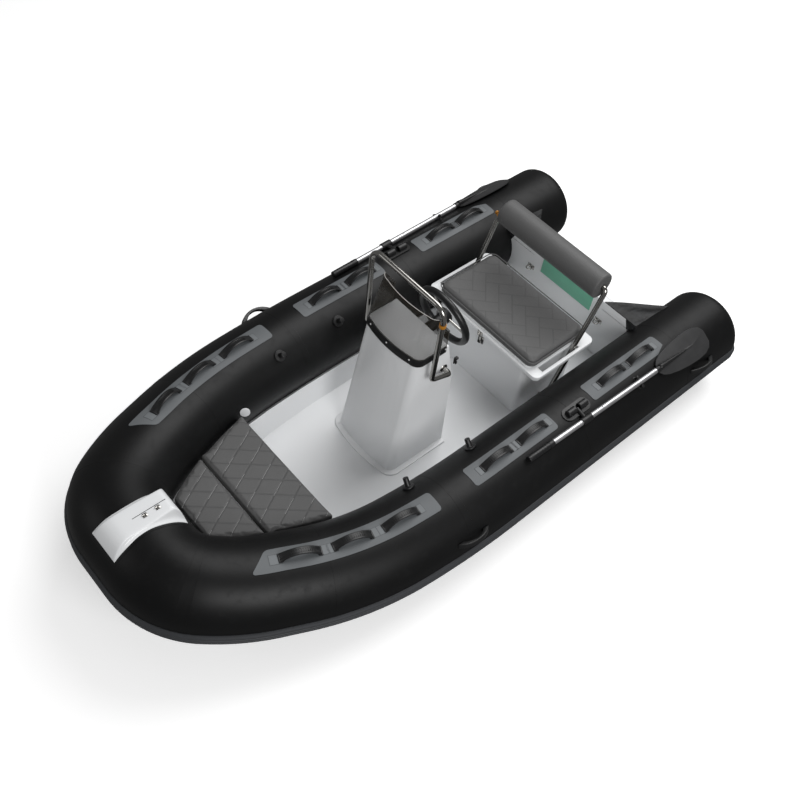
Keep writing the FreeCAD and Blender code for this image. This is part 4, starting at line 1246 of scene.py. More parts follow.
# Direction in plan, place of one line across it, spacing, and whether pale stitches show
QUILT_SETS = ((math.radians(142.4), -1.1118, 0.0787, False), (math.radians(29.8), -1.2617, 0.0817, True))
QUILT_LINES = 9
QUILT_REACH = 1.2


# Two sets of parallel lines across a box, for a diamond quilt
def diamond_seams(x0, x1, y0, y1):
    seams = Seams()
    middle_point = Vector(((x0 + x1) / 2, (y0 + y1) / 2))
    for angle, first, gap, stitched in QUILT_SETS:
        run = Vector((math.cos(angle), math.sin(angle)))
        across = Vector((-run.y, run.x))
        count = math.ceil((across.dot(middle_point) - first) / gap)
        for k in range(count - QUILT_LINES, count + QUILT_LINES + 1):
            at_line = across * (first + gap * k) + run * run.dot(middle_point)
            seams.add(at_line - run * QUILT_REACH, at_line + run * QUILT_REACH, stitched)
    return seams


# Herringbone of bricks two cells long, set at 45 degrees
def herringbone_seams(x0, x1, y0, y1, cell):
    seams = Seams()
    first = Vector((math.cos(math.pi / 4), math.sin(math.pi / 4)))
    second = Vector((-first.y, first.x))
    origin = Vector(((x0 + x1) / 2, (y0 + y1) / 2))
    count = math.ceil((x1 - x0 + y1 - y0) / 2 / cell) + 1
    for i in range(-count, count + 1):
        for j in range(-count, count + 1):
            corner = origin + first * (cell * i) + second * (cell * j)
            if not (x0 - cell < corner.x < x1 + cell and y0 - cell < corner.y < y1 + cell):
                continue
            place = (i - j) % 4
            if place != 3:
                seams.add(corner + second * cell, corner + second * cell + first * cell)
            if place != 0:
                seams.add(corner + first * cell, corner + first * cell + second * cell)
    return seams


# Height over which a cushion starts to swell, so that its underside stays flat
REST_BAND = 0.006
CUSHION_EDGE_STEPS = 4
CUSHION_EDGE_ANGLE = 40.0


# A copy of the CAD cushion, remeshed, swollen by cloth, and capped
def swollen(node, name, width):
    given = sizes("cushion_sizes")
    made = merged_copy(node, name, cushion_vinyl)
    bevel(made, width, CUSHION_EDGE_STEPS, CUSHION_EDGE_ANGLE)
    remesh = made.modifiers.new("Remesh", "REMESH")
    remesh.mode = "VOXEL"
    remesh.voxel_size = given.voxel
    bake_modifiers(made)
    made.data.materials.clear()
    made.data.materials.append(finish(cushion_vinyl))
    rest = [vertex.co.copy() for vertex in made.data.vertices]
    inflate(made, given.pressure)
    under = low(node).z + REST_BAND
    for vertex, start in zip(made.data.vertices, rest):
        move = vertex.co - start
        cap = given.cap * (smooth_step((start.z - under) / REST_BAND) if node != "backrest_bolster" else 1.0)
        if move.length > cap:
            vertex.co = start + move.normalized() * cap
    return made


CLOTH_FRAMES = 20


def inflate(piece, pressure):
    cloth = piece.modifiers.new("Cloth", "CLOTH")
    cloth.settings.quality = 4
    cloth.settings.mass = 0.3
    cloth.settings.tension_stiffness = 40
    cloth.settings.compression_stiffness = 40
    cloth.settings.bending_stiffness = 4
    cloth.settings.use_pressure = True
    cloth.settings.uniform_pressure_force = pressure
    cloth.settings.effector_weights.gravity = 0.0
    cloth.point_cache.frame_start = 1
    cloth.point_cache.frame_end = CLOTH_FRAMES
    for step in range(1, CLOTH_FRAMES + 1):
        bpy.context.scene.frame_set(step)
    bake_modifiers(piece)
    bpy.context.scene.frame_set(1)


# A cushion's top takes seams where it faces up by more than this, in full a little past it
FACING_LEAST = 0.55
FACING_BAND = 0.3


# Presses the seams into a cushion's top and marks them for painted shade in its finish
def quilt(piece, seams, depth, width, rim):
    subdivide(piece)
    mesh = piece.data
    # Mark of the painted shade along the seams
    seam_shade_mark = mesh.attributes.new("seam", "FLOAT", "POINT")
    normals = [vertex.normal.copy() for vertex in mesh.vertices]
    reach = width * SEAM_REACH_SHARE
    for i, vertex in enumerate(mesh.vertices):
        facing = smooth_step((normals[i].z - FACING_LEAST) / FACING_BAND)
        if facing <= 0:
            continue
        share = math.exp(-(seams.distance(vertex.co.xy, reach) / width) ** 2) * facing
        edge = rim(vertex.co)
        vertex.co -= normals[i] * (depth * share * edge)
        seam_shade_mark.data[i].value = share * edge
    mesh.update()


def subdivide(piece, levels=1):
    made = piece.modifiers.new("Smooth", "SUBSURF")
    made.levels = levels
    made.render_levels = levels
    bake_modifiers(piece)
    piece.data.polygons.foreach_set("use_smooth", [True] * len(piece.data.polygons))
    return piece


class BOAT_OT_mouldings(bpy.types.Operator):
    """Hull, deck, transom, locker and seat base with their edges rounded"""
    bl_idname = "boat.mouldings"
    bl_label = "Mouldings"

    # CAD piece, its copy's name, finish, edge and body
    PIECES = (
        ("hull", "hull_skin", gelcoat, 0.004, ROOT),
        ("deck", "deck_skin", deck_gelcoat, 0.004, ROOT),
        ("transom", "transom_skin", gelcoat, 0.006, ROOT),
        ("bow_locker", "locker_skin", gelcoat, 0.003, ROOT),
        ("bow_locker_lid", "locker_lid_skin", gelcoat, 0.003, "bow_lid"),
        ("seat_pod", "seat_base", gelcoat, 0.006, ROOT),
        ("seat_lid", "seat_lid_skin", gelcoat, 0.003, "seat_lid"),
    )

    def execute(self, context):
        for piece in self.PIECES:
            rounded_copy(*piece)
        rounded_copy("transom_plate", "clamp_board", clamp_board, 0.0015, slot="plate_green")
        return {"FINISHED"}


class BOAT_OT_console(bpy.types.Operator):
    """Console, windscreen with its thin edge painted paler as a highlight, the screwed gasket round its foot,
    and the latch
    """
    bl_idname = "boat.console"
    bl_label = "Console"

    EDGE = 0.0025
    # A face of the screen's sheet is its thin edge when it faces up or ends the sheet aft
    THIN_UP = 0.35
    THIN_AFT = -0.9
    THIN_REACH = 0.003
    GASKET_HEIGHT = 0.036
    GASKET_PROUD = 0.0012
    SCREW_SHARE = 0.62
    SCREWS_Y = (-0.128, -0.004, 0.130)
    SIDE_SCREW_X = 1.190
    SCREW_PROFILE = ((-0.0004, 0.0), (-0.0004, 0.0042), (0.0008, 0.0042), (0.0018, 0.0030), (0.0022, 0.0))
    SCREW_SIDES = 16
    CLIP_PLACE = Vector((1.122, 0.194, 0.676))
    CLIP_EDGE = 0.0015
    # Place from the latch's middle and size of each of its blocks
    CLIP_BLOCKS = (
        ((0.0, 0.0, 0.0), (0.018, 0.005, 0.044)),
        ((-0.002, 0.006, 0.014), (0.016, 0.010, 0.012)),
        ((0.000, 0.006, -0.012), (0.008, 0.009, 0.018)))

    def execute(self, context):
        body = bevel_outer(merged_copy("console", "console_skin", gelcoat), self.EDGE)
        settle(smooth_by_angle(body), ROOT, "gelcoat_white", "console")
        self.screen()
        self.screws(surface(self.gasket()))
        self.clip()
        return {"FINISHED"}

    def screen(self):
        made = merged_copy("windscreen", "screen_skin", smoked_acrylic)
        made.data.materials.append(finish(edge_highlight_paint))
        aft = low("windscreen").x + self.THIN_REACH
        for face in made.data.polygons:
            thin = face.normal.z > self.THIN_UP or (face.normal.x < self.THIN_AFT and face.center.x < aft)
            # Thin edge faces take the painted highlight
            face.material_index = 1 if thin else 0
        settle(smooth_by_angle(made), ROOT, "smoked_acrylic", "windscreen")

    # Strip round the foot of the screen
    def gasket(self):
        made = merged_copy("windscreen", "screen_gasket", black_moulding)
        top = low("windscreen") + Vector((0, 0, self.GASKET_HEIGHT))
        work = bmesh.new()
        work.from_mesh(made.data)
        cut = bmesh.ops.bisect_plane(work, geom=work.verts[:] + work.edges[:] + work.faces[:], dist=0.00001,
                                     plane_co=top, plane_no=Vector((0, 0, 1)), clear_outer=True)
        edges = [item for item in cut["geom_cut"] if isinstance(item, bmesh.types.BMEdge)]
        bmesh.ops.edgeloop_fill(work, edges=edges)
        bmesh.ops.recalc_face_normals(work, faces=work.faces)
        work.normal_update()
        moves = [vertex.normal * self.GASKET_PROUD for vertex in work.verts]
        for vertex, move in zip(work.verts, moves):
            vertex.co += move
        work.to_mesh(made.data)
        work.free()
        return settle(smooth_by_angle(made, FINE_ANGLE), ROOT, "black_plastic")

    def screws(self, tree):
        height = low("windscreen").z + self.GASKET_HEIGHT * self.SCREW_SHARE
        heads = [front_at(tree, y, height) for y in self.SCREWS_Y]
        heads += [side_at(tree, self.SIDE_SCREW_X, sign, height) for sign in (1, -1)]
        pieces = [lathe("screw", self.SCREW_PROFILE, place, normal, screw_white, self.SCREW_SIDES)
                  for place, normal in heads]
        settle(joined("screen_screws", pieces), ROOT, "gelcoat_white")

    # Small black latch on the console's port edge
    def clip(self):
        pieces = blocks("clip", self.CLIP_PLACE, self.CLIP_BLOCKS, black_moulding, self.CLIP_EDGE)
        settle(joined("dash_clip", pieces), ROOT, "black_plastic")


class BOAT_OT_metalwork(bpy.types.Operator):
    """Rail, backrest arms, pins and clips, with the rail's feet"""
    bl_idname = "boat.metalwork"
    bl_label = "Metalwork"

    # CAD piece, its copy's name, finish, edge, body, slot and least angle of a rounded edge
    PIECES = (
        ("console_rail", "rail_bar", stainless, 0.0012, ROOT, "stainless", BAR_ANGLE),
        ("backrest_frame", "backrest_arms", stainless, 0.001, "backrest", "stainless", BAR_ANGLE),
        ("backrest_pins", "pivot_heads", stainless, 0.0012, ROOT, "stainless", FINE_ANGLE),
        ("rail_knob", "rail_clip", amber_plastic, 0.0025, ROOT, "amber", FINE_ANGLE),
        ("frame_knobs", "arm_clip", amber_plastic, 0.0025, "backrest", "amber", FINE_ANGLE),
        ("seat_latch", "seat_catch", stainless, 0.001, ROOT, "stainless", EDGE_ANGLE),
        ("towing_eyes", "eye_rings", stainless, 0.0008, ROOT, "stainless", FINE_ANGLE),
    )
    THUMB_INSET = 0.006
    THUMB_PROFILE = ((0.0, 0.0), (0.0, 0.0065), (0.005, 0.0065), (0.007, 0.0105), (0.015, 0.0105),
                     (0.017, 0.0085), (0.017, 0.0))
    THUMB_SIDES = 16
    RAIL_RADIUS = 0.0125
    FLANGE_BORE = RAIL_RADIUS + 0.0006
    FLANGE_PROFILE = ((0.0002, FLANGE_BORE), (0.0002, 0.021), (0.0016, 0.022), (0.0032, 0.0205),
                      (0.0040, 0.0165), (0.0040, FLANGE_BORE))
    FLANGE_SIDES = 28

    def execute(self, context):
        for piece in self.PIECES:
            rounded_copy(*piece)
        self.rail_feet()
        self.thumbs()
        return {"FINISHED"}

    # Thumb screws on the clips of the backrest's arms
    def thumbs(self):
        box_low, box_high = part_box("frame_knobs")
        pieces = []
        for sign, edge in ((1, box_high.y), (-1, box_low.y)):
            start = (box_low + box_high) / 2
            start.y = edge - sign * self.THUMB_INSET
            pieces.append(lathe("thumb", self.THUMB_PROFILE, start, (0, sign, 0), amber_plastic,
                                self.THUMB_SIDES))
        settle(joined("arm_thumbs", pieces), "backrest", "amber")

    # Round flanges where the rail meets the console
    def rail_feet(self):
        rail_low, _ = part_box("console_rail")
        tree = surface(frame["nodes"]["console"])
        foot_x = rail_low.x + self.RAIL_RADIUS
        foot_z = rail_low.z + self.RAIL_RADIUS
        pieces = []
        for sign in (1, -1):
            place, normal = side_at(tree, foot_x, sign, foot_z)
            pieces.append(lathe("foot", self.FLANGE_PROFILE, place, normal, stainless, self.FLANGE_SIDES))
        settle(joined("rail_feet", pieces), ROOT, "stainless")


class BOAT_OT_helm(bpy.types.Operator):
    """Steering wheel: soft rim, bright spokes, hub cap and column"""
    bl_idname = "boat.helm"
    bl_label = "Helm"

    TILT = math.radians(13.0)
    RIM_RADIUS = 0.0175
    RIM_STEPS = 96
    RIM_SIDES = 24
    CAP_HALF = 0.0158
    # Domed aft face of the cap, past its half height
    CAP_DOME = ((0.0, 0.0392), (0.003, 0.036), (0.006, 0.033), (0.0085, 0.024), (0.0095, 0.0))
    CAP_SIDES = 36

    def execute(self, context):
        self.rim()
        rounded_copy("wheel_spokes", "spokes_bright", stainless, 0.0014, "steering_wheel", "stainless")
        rounded_copy("steering_column", "column_boot", black_moulding, 0.002, slot="black_plastic")
        self.hub_cap()
        return {"FINISHED"}

    def axis(self):
        return Vector((-math.cos(self.TILT), 0, math.sin(self.TILT)))

    # Padded rim: a ring of constant section, its outside where the CAD's is
    def rim(self):
        normal = self.axis()
        across = Vector((0, 1, 0))
        upward = normal.cross(across)
        centre = middle("wheel_rim")
        reach = (high("wheel_rim").y - low("wheel_rim").y) / 2 - self.RIM_RADIUS
        rows = []
        for k in range(self.RIM_STEPS):
            turn = 2 * math.pi * k / self.RIM_STEPS
            out = across * math.cos(turn) + upward * math.sin(turn)
            rows.append([centre + out * (reach + self.RIM_RADIUS * math.cos(t))
                         + normal * (self.RIM_RADIUS * math.sin(t))
                         for t in (2 * math.pi * j / self.RIM_SIDES for j in range(self.RIM_SIDES))])
        made = skin("rim_grip", rows, handle_rubber, along=True)
        settle(made, "steering_wheel", "black_plastic", "wheel_rim")

    # Black boss over the hub, domed towards the helmsman
    def hub_cap(self):
        half = self.CAP_HALF
        profile = [(-half, 0.0), (-half, 0.034), (-half + 0.003, 0.0385)]
        profile += [(half + along, radius) for along, radius in self.CAP_DOME]
        made = lathe("hub_cap", profile, middle("wheel_rim"), self.axis(), black_moulding, self.CAP_SIDES)
        settle(made, "steering_wheel", "black_plastic")


class BOAT_OT_oars(bpy.types.Operator):
    """Oars with rubber grips, drawn shafts and moulded blades, and their rowlocks"""
    bl_idname = "boat.oars"
    bl_label = "Oars"

    # CAD piece and its copy's name without the side, finish, edge, slot and least angle of a rounded edge
    PIECES = (
        ("oar_grip_", "grip_", handle_rubber, 0.003, "black_plastic", BAR_ANGLE),
        ("oar_shaft_", "shaft_", bright_aluminium, 0.0, "aluminium", EDGE_ANGLE),
        ("oar_blade_", "blade_", blade_plastic, 0.0028, "black_plastic", EDGE_ANGLE),
        ("rowlock_swivel_", "swivel_", black_moulding, 0.0015, "black_plastic", FINE_ANGLE),
    )
    END_REACH = 0.012
    # Bearing shells: distance from the rowlock's middle, angle outboard from the top, height over the skin
    BEARING_NEAR = 0.012
    BEARING_ANGLE = math.asin(0.034 / 0.210)
    BEARING_LIFT = 0.0135
    BEARING_PROFILE = ((0.0, 0.0), (0.0, 0.0150), (0.0030, 0.0185), (0.0500, 0.0185), (0.0540, 0.0150),
                       (0.0540, 0.0))
    # Spine of the blade: it tapers, and lies deeper in the blade at its start
    SPINE_STEPS = 16
    SPINE_LENGTH = 0.215
    SPINE_START = 0.004
    SPINE_RADIUS = 0.0150
    SPINE_TAPER = 0.80
    SPINE_SINK = 0.0060
    SPINE_RISE = 0.75
    SPINE_SIDES = 18
    # Rings along the grip, from a share of its length on
    RING_COUNT = 7
    RING_START_SHARE = 0.16
    RING_GAP_SHARE = 0.11
    RING_PROFILE = ((-0.0025, 0.0158), (-0.0015, 0.0168), (0.0015, 0.0168), (0.0025, 0.0158))
    FRONT_FERRULE = ((-0.002, 0.0142), (-0.002, 0.0172), (0.026, 0.0166), (0.028, 0.0142))
    FRONT_SHIFT = 0.003
    BACK_FERRULE = ((0.0, 0.0142), (0.002, 0.0166), (0.024, 0.0170), (0.026, 0.0142))
    BACK_SHIFT = 0.022
    # Screw on the shaft: share of the way along it, and height over its axis
    SCREW_SHARE = 0.46
    SCREW_LIFT = 0.0140
    SCREW_AXIS = (0.2, 0.25, 1.0)
    SCREW_PROFILE = ((0.0, 0.0), (0.0, 0.0026), (0.0014, 0.0024), (0.0018, 0.0))
    SCREW_SIDES = 12
    ROUND_SIDES = 28

    def execute(self, context):
        for side in ("port", "starboard"):
            for node, name, maker, width, slot, angle in self.PIECES:
                rounded_copy(node + side, name + side, maker, width, ROOT, slot, angle)
            self.rings(side)
            self.spine(side)
        rounded_copy("rowlock_bases", "rowlock_seats", black_moulding, 0.0026, slot="black_plastic")
        self.bearings()
        rounded_copy("oar_clips", "clip_posts", black_moulding, 0.0014, ROOT, "black_plastic", FINE_ANGLE)
        return {"FINISHED"}

    # Middles of the two ends of a bar that lies fore and aft
    def line(self, node):
        points = [v.co for v in frame["nodes"][node].data.vertices]
        front = max(p.x for p in points)
        back = min(p.x for p in points)
        ends = []
        for limit in (front, back):
            near = [p for p in points if abs(p.x - limit) < self.END_REACH]
            ends.append(sum(near, Vector()) / len(near))
        return ends

    # Rounded bearing shells over the blocks of the rowlocks
    def bearings(self):
        line = tube_line()
        centre_x = middle("rowlock_bases").x
        pieces = []
        for end in (-1, 1):
            start = line.on(centre_x + end * self.BEARING_NEAR, self.BEARING_ANGLE, self.BEARING_LIFT)
            for point in (start, *mirrored([start])):
                pieces.append(lathe("bearing", self.BEARING_PROFILE, point, (end, 0, 0), black_moulding,
                                    self.ROUND_SIDES))
        settle(joined("rowlock_bearings", pieces), ROOT, "black_plastic")

    # Dark spine that carries the shaft on into the blade
    def spine(self, side):
        start, end = self.line("oar_shaft_" + side)
        along = (end - start).normalized()
        tree = surface(frame["nodes"]["oar_blade_" + side])
        centres = []
        for k in range(self.SPINE_STEPS + 1):
            spot = end + along * (self.SPINE_LENGTH * k / self.SPINE_STEPS + self.SPINE_START)
            sink = self.SPINE_SINK * (1 - self.SPINE_RISE * k / self.SPINE_STEPS)
            centres.append(top_at(tree, spot.x, spot.y) - Vector((0, 0, sink)))
        made = bar("blade_spine_" + side, centres, self.SPINE_RADIUS, black_moulding, self.SPINE_SIDES,
                   lambda share: 1.0 - self.SPINE_TAPER * share)
        settle(made, ROOT, "black_plastic")

    # Rings of the grip, the ferrules of the shaft and the screw in it
    def rings(self, side):
        start, end = self.line("oar_grip_" + side)
        along = (end - start).normalized()
        pieces = []
        length = (end - start).length
        for k in range(self.RING_COUNT):
            centre = start + along * (length * (self.RING_START_SHARE + self.RING_GAP_SHARE * k))
            pieces.append(lathe("ring", self.RING_PROFILE, centre, along, handle_rubber, self.ROUND_SIDES))
        front, back = self.line("oar_shaft_" + side)
        for profile, place in ((self.FRONT_FERRULE, front - along * self.FRONT_SHIFT),
                               (self.BACK_FERRULE, back - along * self.BACK_SHIFT)):
            pieces.append(lathe("ferrule", profile, place, along, black_moulding, self.ROUND_SIDES))
        screw = front.lerp(back, self.SCREW_SHARE) + Vector((0, 0, self.SCREW_LIFT))
        pieces.append(lathe("screw", self.SCREW_PROFILE, screw, self.SCREW_AXIS, black_moulding,
                            self.SCREW_SIDES))
        settle(joined("oar_rings_" + side, pieces), ROOT, "black_plastic")


class BOAT_OT_fittings(bpy.types.Operator):
    """Carry handles, valves with their caps, and the flaps at the transom"""
    bl_idname = "boat.fittings"
    bl_label = "Fittings"

    FLAP_STEPS = 18
    FLAP_TURN = 0.055
    FLAP_THICKNESS = 0.0028
    # The flap's edge on the transom, from its inner to its outer end
    FLAP_FROM = 0.250
    FLAP_TO = 0.462
    FLAP_SET_BACK = 0.001
    # Heights over the transom and the tube, and share of the way to the flap's point
    FLAP_LIFT = 0.0012
    FLAP_SLACK = 0.0035
    FLAP_TIP_SHARE = 0.97
    FLAP_OVER_TUBE = 0.0034
    # The flap's point on the tube, and its folds
    TIP_SPREAD = 0.010
    TIP_RUN = 0.24
    TIP_HEIGHT = 0.398
    FOLD_HEIGHT = 0.0035
    FOLDS_ACROSS = 52.0
    FOLDS_ALONG = 31.0
    FOLD_ENDS = 5

    def execute(self, context):
        for side in ("port", "starboard"):
            rounded_copy("carry_handles_" + side, "carry_" + side, handle_rubber, 0.0035,
                         slot="black_plastic")
        rounded_copy("air_valves", "valve_caps", black_moulding, 0.0022, ROOT, "black_plastic", FINE_ANGLE)
        self.flaps()
        return {"FINISHED"}

    # Loose fabric flaps from the transom's top to the tubes' tails, folded a little
    def flaps(self):
        tree = surface(frame["nodes"]["tube_port"])
        box_low, box_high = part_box("gusset_flaps")
        top = high("transom").z + self.FLAP_LIFT
        front = high("transom").x - self.FLAP_SET_BACK
        tip = Vector((box_low.x, box_high.y + self.TIP_SPREAD))
        edge = high("tube_port").y - 2 * sizes("tube_sizes").radius
        steps = self.FLAP_STEPS
        rows = []
        for i in range(steps + 1):
            row = []
            for j in range(steps + 1):
                near = Vector((front, self.FLAP_FROM)).lerp(Vector((front, self.FLAP_TO)), j / steps)
                spot = near.lerp(tip, i / steps * self.FLAP_TIP_SHARE)
                row.append(self.flap_point(tree, spot, top, edge))
            rows.append(row)
        rows.insert(0, [point + Vector((self.FLAP_SET_BACK, 0, -self.FLAP_TURN)) for point in rows[0]])
        pieces = []
        for side in (rows, [mirrored(row) for row in rows]):
            lower = [[point - Vector((0, 0, self.FLAP_THICKNESS)) for point in row] for row in side]
            pieces.append(smooth_by_angle(thick_sheet("flap", side, lower, flap_fabric), FINE_ANGLE))
        settle(joined("flap_sheets", pieces), ROOT, "fabric_black", "gusset_flaps")

    # Rises to the point in folds, and lies on the tube where it is higher
    def flap_point(self, tree, spot, top, edge):
        place = top_at(tree, spot.x, spot.y)
        tail = max(0.0, -spot.x) / self.TIP_RUN
        height = top + self.FLAP_SLACK + (self.TIP_HEIGHT - top) * tail
        wave = math.sin(spot.y * self.FOLDS_ACROSS + spot.x * self.FOLDS_ALONG)
        height += self.FOLD_HEIGHT * wave * min(1.0, self.FOLD_ENDS * tail * (1 - tail))
        if place is not None and spot.y > edge:
            height = max(height, place.z + self.FLAP_OVER_TUBE)
        return Vector((spot.x, spot.y, height))


# Bow plate: share of its length from the stern side, half widths of its crest and foot, share of its rise
PLATE_SHARES = (
    (0.0, 0.93, 1.0, 0.0), (0.035, 0.74, 0.99, 0.72), (0.09, 0.63, 0.97, 1.0), (0.30, 0.65, 0.89, 1.0),
    (0.48, 0.66, 0.81, 1.0), (0.66, 0.66, 0.83, 1.0), (0.76, 0.66, 0.89, 0.97), (0.85, 0.72, 0.91, 0.62),
    (1.0, 0.84, 0.93, 0.0))
PLATE_ROW_SHARES = (
    0.0, 0.02, 0.045, 0.09, 0.17, 0.26, 0.36, 0.46, 0.56, 0.66, 0.74, 0.80, 0.86, 0.93, 0.98, 1.0)
# The plate's shoulders: share of the way from the crest out to the foot, share of the way down to the rim
SHOULDER_SHARES = ((0.62, 0.86), (0.30, 0.60))


class BOAT_OT_bow_plate(bpy.types.Operator):
    """Moulded plate over the nose of the tube, its slit and tabs, and the patch that it sits on"""
    bl_idname = "boat.bow_plate"
    bl_label = "Bow plate"

    LIP = 0.005
    FOOT_GAP = 0.0008
    # Rounding of the crest: out and down at its edge, and in to where it is flat
    CREST_OUT = 0.0015
    CREST_DOWN = 0.0022
    CREST_IN = 0.004
    CREST_FLAT_SHARE = 0.4
    SHEET_THICKNESS = 0.0016
    SHEET_SHARE = 0.985
    PATCH_MARGIN = 0.011
    PATCH_ROWS = 21
    PATCH_COLUMNS = 25
    PATCH_LIFT = 0.0002
    PATCH_THICKNESS = 0.0013
    SLIT_START = 0.037
    SLIT_SIZE = (0.150, 0.0022, 0.0010)
    SLIT_LIFT = 0.0001

    def execute(self, context):
        self.box_low, self.box_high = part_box("bow_plate")
        self.tree = surface(frame["nodes"]["tube_bow"])
        self.plate()
        self.slit()
        self.patch()
        rounded_copy("bow_tabs", "nose_tabs", stainless, 0.0006, slot="stainless")
        return {"FINISHED"}

    # Row of PLATE_SHARES, blended between its neighbours
    def section(self, share):
        for a, b in zip(PLATE_SHARES, PLATE_SHARES[1:]):
            if share <= b[0]:
                part = (share - a[0]) / (b[0] - a[0])
                return [p + (q - p) * part for p, q in zip(a, b)]
        return PLATE_SHARES[-1]

    # Height of the tube's skin
    def skin_height(self, x, y=0.0):
        return top_at(self.tree, x, y).z

    def plate(self):
        half = self.box_high.y
        length = self.box_high.x - self.box_low.x
        upper = []
        for share in PLATE_ROW_SHARES:
            _, crest_share, foot_share, level = self.section(share)
            x = self.box_low.x + length * share
            foot_y, crest_y = half * foot_share, half * crest_share
            foot = self.skin_height(x, foot_y) + self.FOOT_GAP
            rim = self.skin_height(x) + self.LIP
            crest = rim + (self.box_high.z - rim) * level
            side = [(foot_y, foot), (foot_y, min(rim, foot + self.LIP))]
            side += [(crest_y + (foot_y - crest_y) * out, crest + (rim - crest) * down)
                     for out, down in SHOULDER_SHARES]
            side += [(crest_y + self.CREST_OUT, crest - self.CREST_DOWN), (crest_y - self.CREST_IN, crest),
                     (crest_y * self.CREST_FLAT_SHARE, crest)]
            row = [Vector((x, y, z)) for y, z in side]
            upper.append(mirrored(row) + row[::-1])
        lower = [[Vector((p.x, p.y * self.SHEET_SHARE, p.z - self.SHEET_THICKNESS)) for p in row]
                 for row in upper]
        made = subdivide(thick_sheet("nose_plate", upper, lower, gelcoat), 2)
        settle(smooth_by_angle(made, BAR_ANGLE), ROOT, "gelcoat_white", "bow_plate")

    def slit(self):
        centre_x = self.box_low.x + self.SLIT_START + self.SLIT_SIZE[0] / 2
        centre = Vector((centre_x, 0, self.box_high.z + self.SLIT_LIFT))
        made = block("nose_slit", centre, XYZ, self.SLIT_SIZE, black_moulding, 0.0)
        settle(made, ROOT, "black_plastic")

    # Thin patch on the tube, seen as a margin round the plate
    def patch(self):
        margin = self.PATCH_MARGIN
        length = self.box_high.x - self.box_low.x + 2 * margin
        middle_column = (self.PATCH_COLUMNS - 1) / 2
        rows = []
        for i in range(self.PATCH_ROWS):
            share = i / (self.PATCH_ROWS - 1)
            x = self.box_low.x - margin + length * share
            half = self.box_high.y * self.section(share)[2] + margin
            rows.append([(x, half * (j / middle_column - 1)) for j in range(self.PATCH_COLUMNS)])
        made = laid("nose_patch", self.tree, rows, self.PATCH_LIFT, self.PATCH_THICKNESS, tube_fabric)
        settle(smooth_by_angle(made), ROOT, "fabric_black")


class BOAT_OT_seat(bpy.types.Operator):
    """Seat cushion with its embossed herringbone and piping"""
    bl_idname = "boat.seat"
    bl_label = "Seat cushion"

    CELL = 0.068
    INSET = 0.020
    FADE = 0.012
    EDGE = 0.010
    EMBOSS_DEPTH = 0.0009
    EMBOSS_WIDTH = 0.0024
    WELT_GROW = 0.0030
    WELT_CORNER = 0.040
    WELT_DROP = 0.007
    WELT_RADIUS = 0.0028
    LATCH_Y = 0.004
    LATCH_HEIGHT = 0.350
    # Place from the catch's middle and size of each of its blocks
    # The black blocks are painted shade round the bright catch
    LATCH_SHADE_BLOCKS = (
        ((0.003, -0.011, 0.0), (0.006, 0.008, 0.040)),
        ((0.003, 0.013, -0.004), (0.006, 0.010, 0.028)),
        ((0.009, -0.004, -0.016), (0.008, 0.016, 0.007)))
    LATCH_PLATE = ((0.0012, 0.0, 0.0), (0.0022, 0.036, 0.050))
    LATCH_LEVER = ((0.007, 0.0, 0.012), (0.005, 0.012, 0.028))
    LATCH_EDGE = 0.0012
    PLATE_EDGE = 0.0008

    def execute(self, context):
        self.latch()
        made = swollen("seat_cushion", "seat_pad", self.EDGE)
        box_low, box_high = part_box("seat_cushion")
        seams = herringbone_seams(box_low.x, box_high.x, box_low.y, box_high.y, self.CELL)
        centre = (box_low + box_high) / 2
        half = (box_high - box_low) / 2

        def rim(point):
            edge = min(half.x - abs(point.x - centre.x), half.y - abs(point.y - centre.y))
            return smooth_step((edge - self.INSET) / self.FADE)
        quilt(made, seams, self.EMBOSS_DEPTH, self.EMBOSS_WIDTH, rim)
        settle(made, "seat_lid", "cushion_grey", "seat_cushion")
        self.welt(box_low, box_high)
        return {"FINISHED"}

    # Body of the catch under the tray's edge: plate and lever, with black blocks beside them as painted shade
    def latch(self):
        place, _ = front_at(surface(frame["nodes"]["seat_pod"]), self.LATCH_Y, self.LATCH_HEIGHT)
        black = blocks("latch", place, self.LATCH_SHADE_BLOCKS, black_moulding, self.LATCH_EDGE)
        settle(joined("latch_shade_blocks", black), ROOT, "black_plastic")
        bright = blocks("latch", place, (self.LATCH_PLATE,), stainless, self.PLATE_EDGE)
        bright += blocks("latch", place, (self.LATCH_LEVER,), stainless, self.LATCH_EDGE)
        settle(joined("latch_plate", bright), ROOT, "stainless")

    def welt(self, box_low, box_high):
        grow = self.WELT_GROW
        outline = rounded_rectangle(box_low.x - grow, box_high.x + grow, box_low.y - grow, box_high.y + grow,
                                    self.WELT_CORNER)
        points = [Vector((x, y, box_high.z - self.WELT_DROP)) for x, y in outline]
        settle(piping("seat_welt", points, self.WELT_RADIUS, cushion_vinyl), "seat_lid", "cushion_grey")


